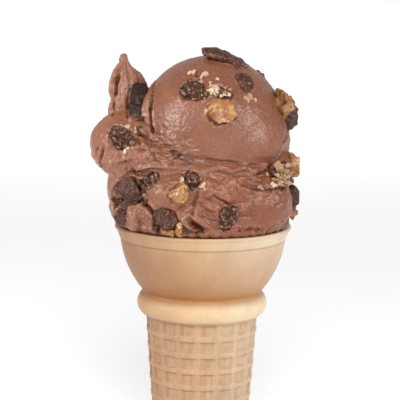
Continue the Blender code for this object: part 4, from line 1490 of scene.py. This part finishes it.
def makeBits(name, kind, tree, places, leaning, seed):
    shape = bmesh.new()
    for index, ((x, z), size) in enumerate(places):
        met = frontPoint(tree, x, z)
        if met is not None:
            addBit(shape, met + (0.0, 0.15 * size, 0.0), size * np.array([0.62, 0.4, 0.5]), seed + index)
    for index, (centre, radii) in enumerate(leaning):
        addBit(shape, centre, np.array(radii), seed + 50 + index)
    return finishBits(shape, name, kind, {})


places, leaning = chocolateBits["places"], rimBits["chocolate"]
smallChocolate = makeBits("chocolateBits", "chocolate", surface, places, leaning, chocolateBits["seed"])
smallToffee = makeBits("toffeeBits", "toffee", surface, [], rimBits["toffee"], rimBits["seed"])
print("crumbs made,", len(nutCrumbs.data.polygons) + len(cookieCrumbs.data.polygons), "faces")


# riding on the model

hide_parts("wafer_cone")
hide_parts("upper_scoop", "lower_scoop")
for name, item in toppings.items():
    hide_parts(name)
lowCorner, highCorner = (np.array(corner) / mm for corner in cadBox)
for item in (cone, iceCream, nutCrumbs, cookieCrumbs, smallChocolate, smallToffee, *toppings.values()):
    # no wider than the model
    moveTo(item.data, np.clip(coordinates(item.data), lowCorner, highCorner))
    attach(item, "root")
print("pieces ride on the model")


# floor, light and camera

studio = {
    "floorColour": (0.95, 0.95, 0.955),
    "worldStrength": 0.54,
    "right": {"place": (820, -480, 360), "size": 300, "power": 4.6, "colour": (1.0, 0.985, 0.96)},
    "left": {"place": (-820, -400, 400), "size": 360, "power": 6.8, "colour": (1.0, 0.99, 0.985)},
    "front": {"place": (40, -840, 720), "size": 420, "power": 5.9, "colour": (1.0, 1.0, 1.0)},
    "far": {"place": (0, 3250, 1150), "size": 5200, "power": 36.0, "colour": (1.0, 1.0, 1.0)},
}
shot = {"distance": 550.0, "down": 9.1, "target": (-1.16, 0.0, 94.34), "lens": 140.9, "roll": 0.8}


def floorMaterial():
    material, tree, where = startMaterial("paleFloor")
    plain = studio["floorColour"]
    cloud = noiseNode(tree, where, 0.01, 2.0)
    colour = rampNode(tree, cloud, [(0.3, plain), (0.7, tuple(c * 1.01 for c in plain))])
    return endMaterial(material, {"Base Color": colour, "Roughness": 0.9, "Specular IOR Level": 0.1})


def makeFloor():
    shape = bmesh.new()
    bmesh.ops.create_grid(shape, x_segments=2, y_segments=2, size=24.0)
    item = addObject("floor", meshFrom("floor", shape))
    item.data.materials.append(floorMaterial())
    return item


def addLight(name, values):
    light = bpy.data.lights.new(name, "AREA")
    light.shape = "DISK"
    light.size = values["size"] * mm
    light.energy = values["power"]
    light.color = values["colour"]
    item = bpy.data.objects.new(name, light)
    item.location = Vector(values["place"]) * mm
    if name == "far":  # lights only the floor behind
        light.spread = math.radians(60)
        item.rotation_euler = (0.0, 0.0, 0.0)
    else:
        item.rotation_euler = (Vector((0, 0, 0.1)) - item.location).to_track_quat("-Z", "Y").to_euler()
    bpy.context.scene.collection.objects.link(item)


def addCamera():
    down = math.radians(shot["down"])
    target = Vector(shot["target"]) * mm
    data = bpy.data.cameras.new("camera")
    data.lens = shot["lens"]
    data.sensor_width = 36.0
    data.clip_start, data.clip_end = 0.01, 50.0
    item = bpy.data.objects.new("camera", data)
    item.location = target + Vector((0, -math.cos(down), math.sin(down))) * shot["distance"] * mm
    level = (target - item.location).to_track_quat("-Z", "Y").to_matrix()
    item.rotation_euler = (level @ Matrix.Rotation(math.radians(shot["roll"]), 3, "Z")).to_euler()
    bpy.context.scene.collection.objects.link(item)
    bpy.context.scene.camera = item


makeFloor()
for name in ("right", "left", "front", "far"):
    addLight(name, studio[name])
world = bpy.data.worlds.new("studio")
world.use_nodes = True
world.node_tree.nodes["Background"].inputs["Color"].default_value = (1.0, 1.0, 1.0, 1.0)
world.node_tree.nodes["Background"].inputs["Strength"].default_value = studio["worldStrength"]
bpy.context.scene.world = world
bpy.context.scene.view_settings.view_transform = "Standard"
addCamera()
print("floor, lights and camera placed")
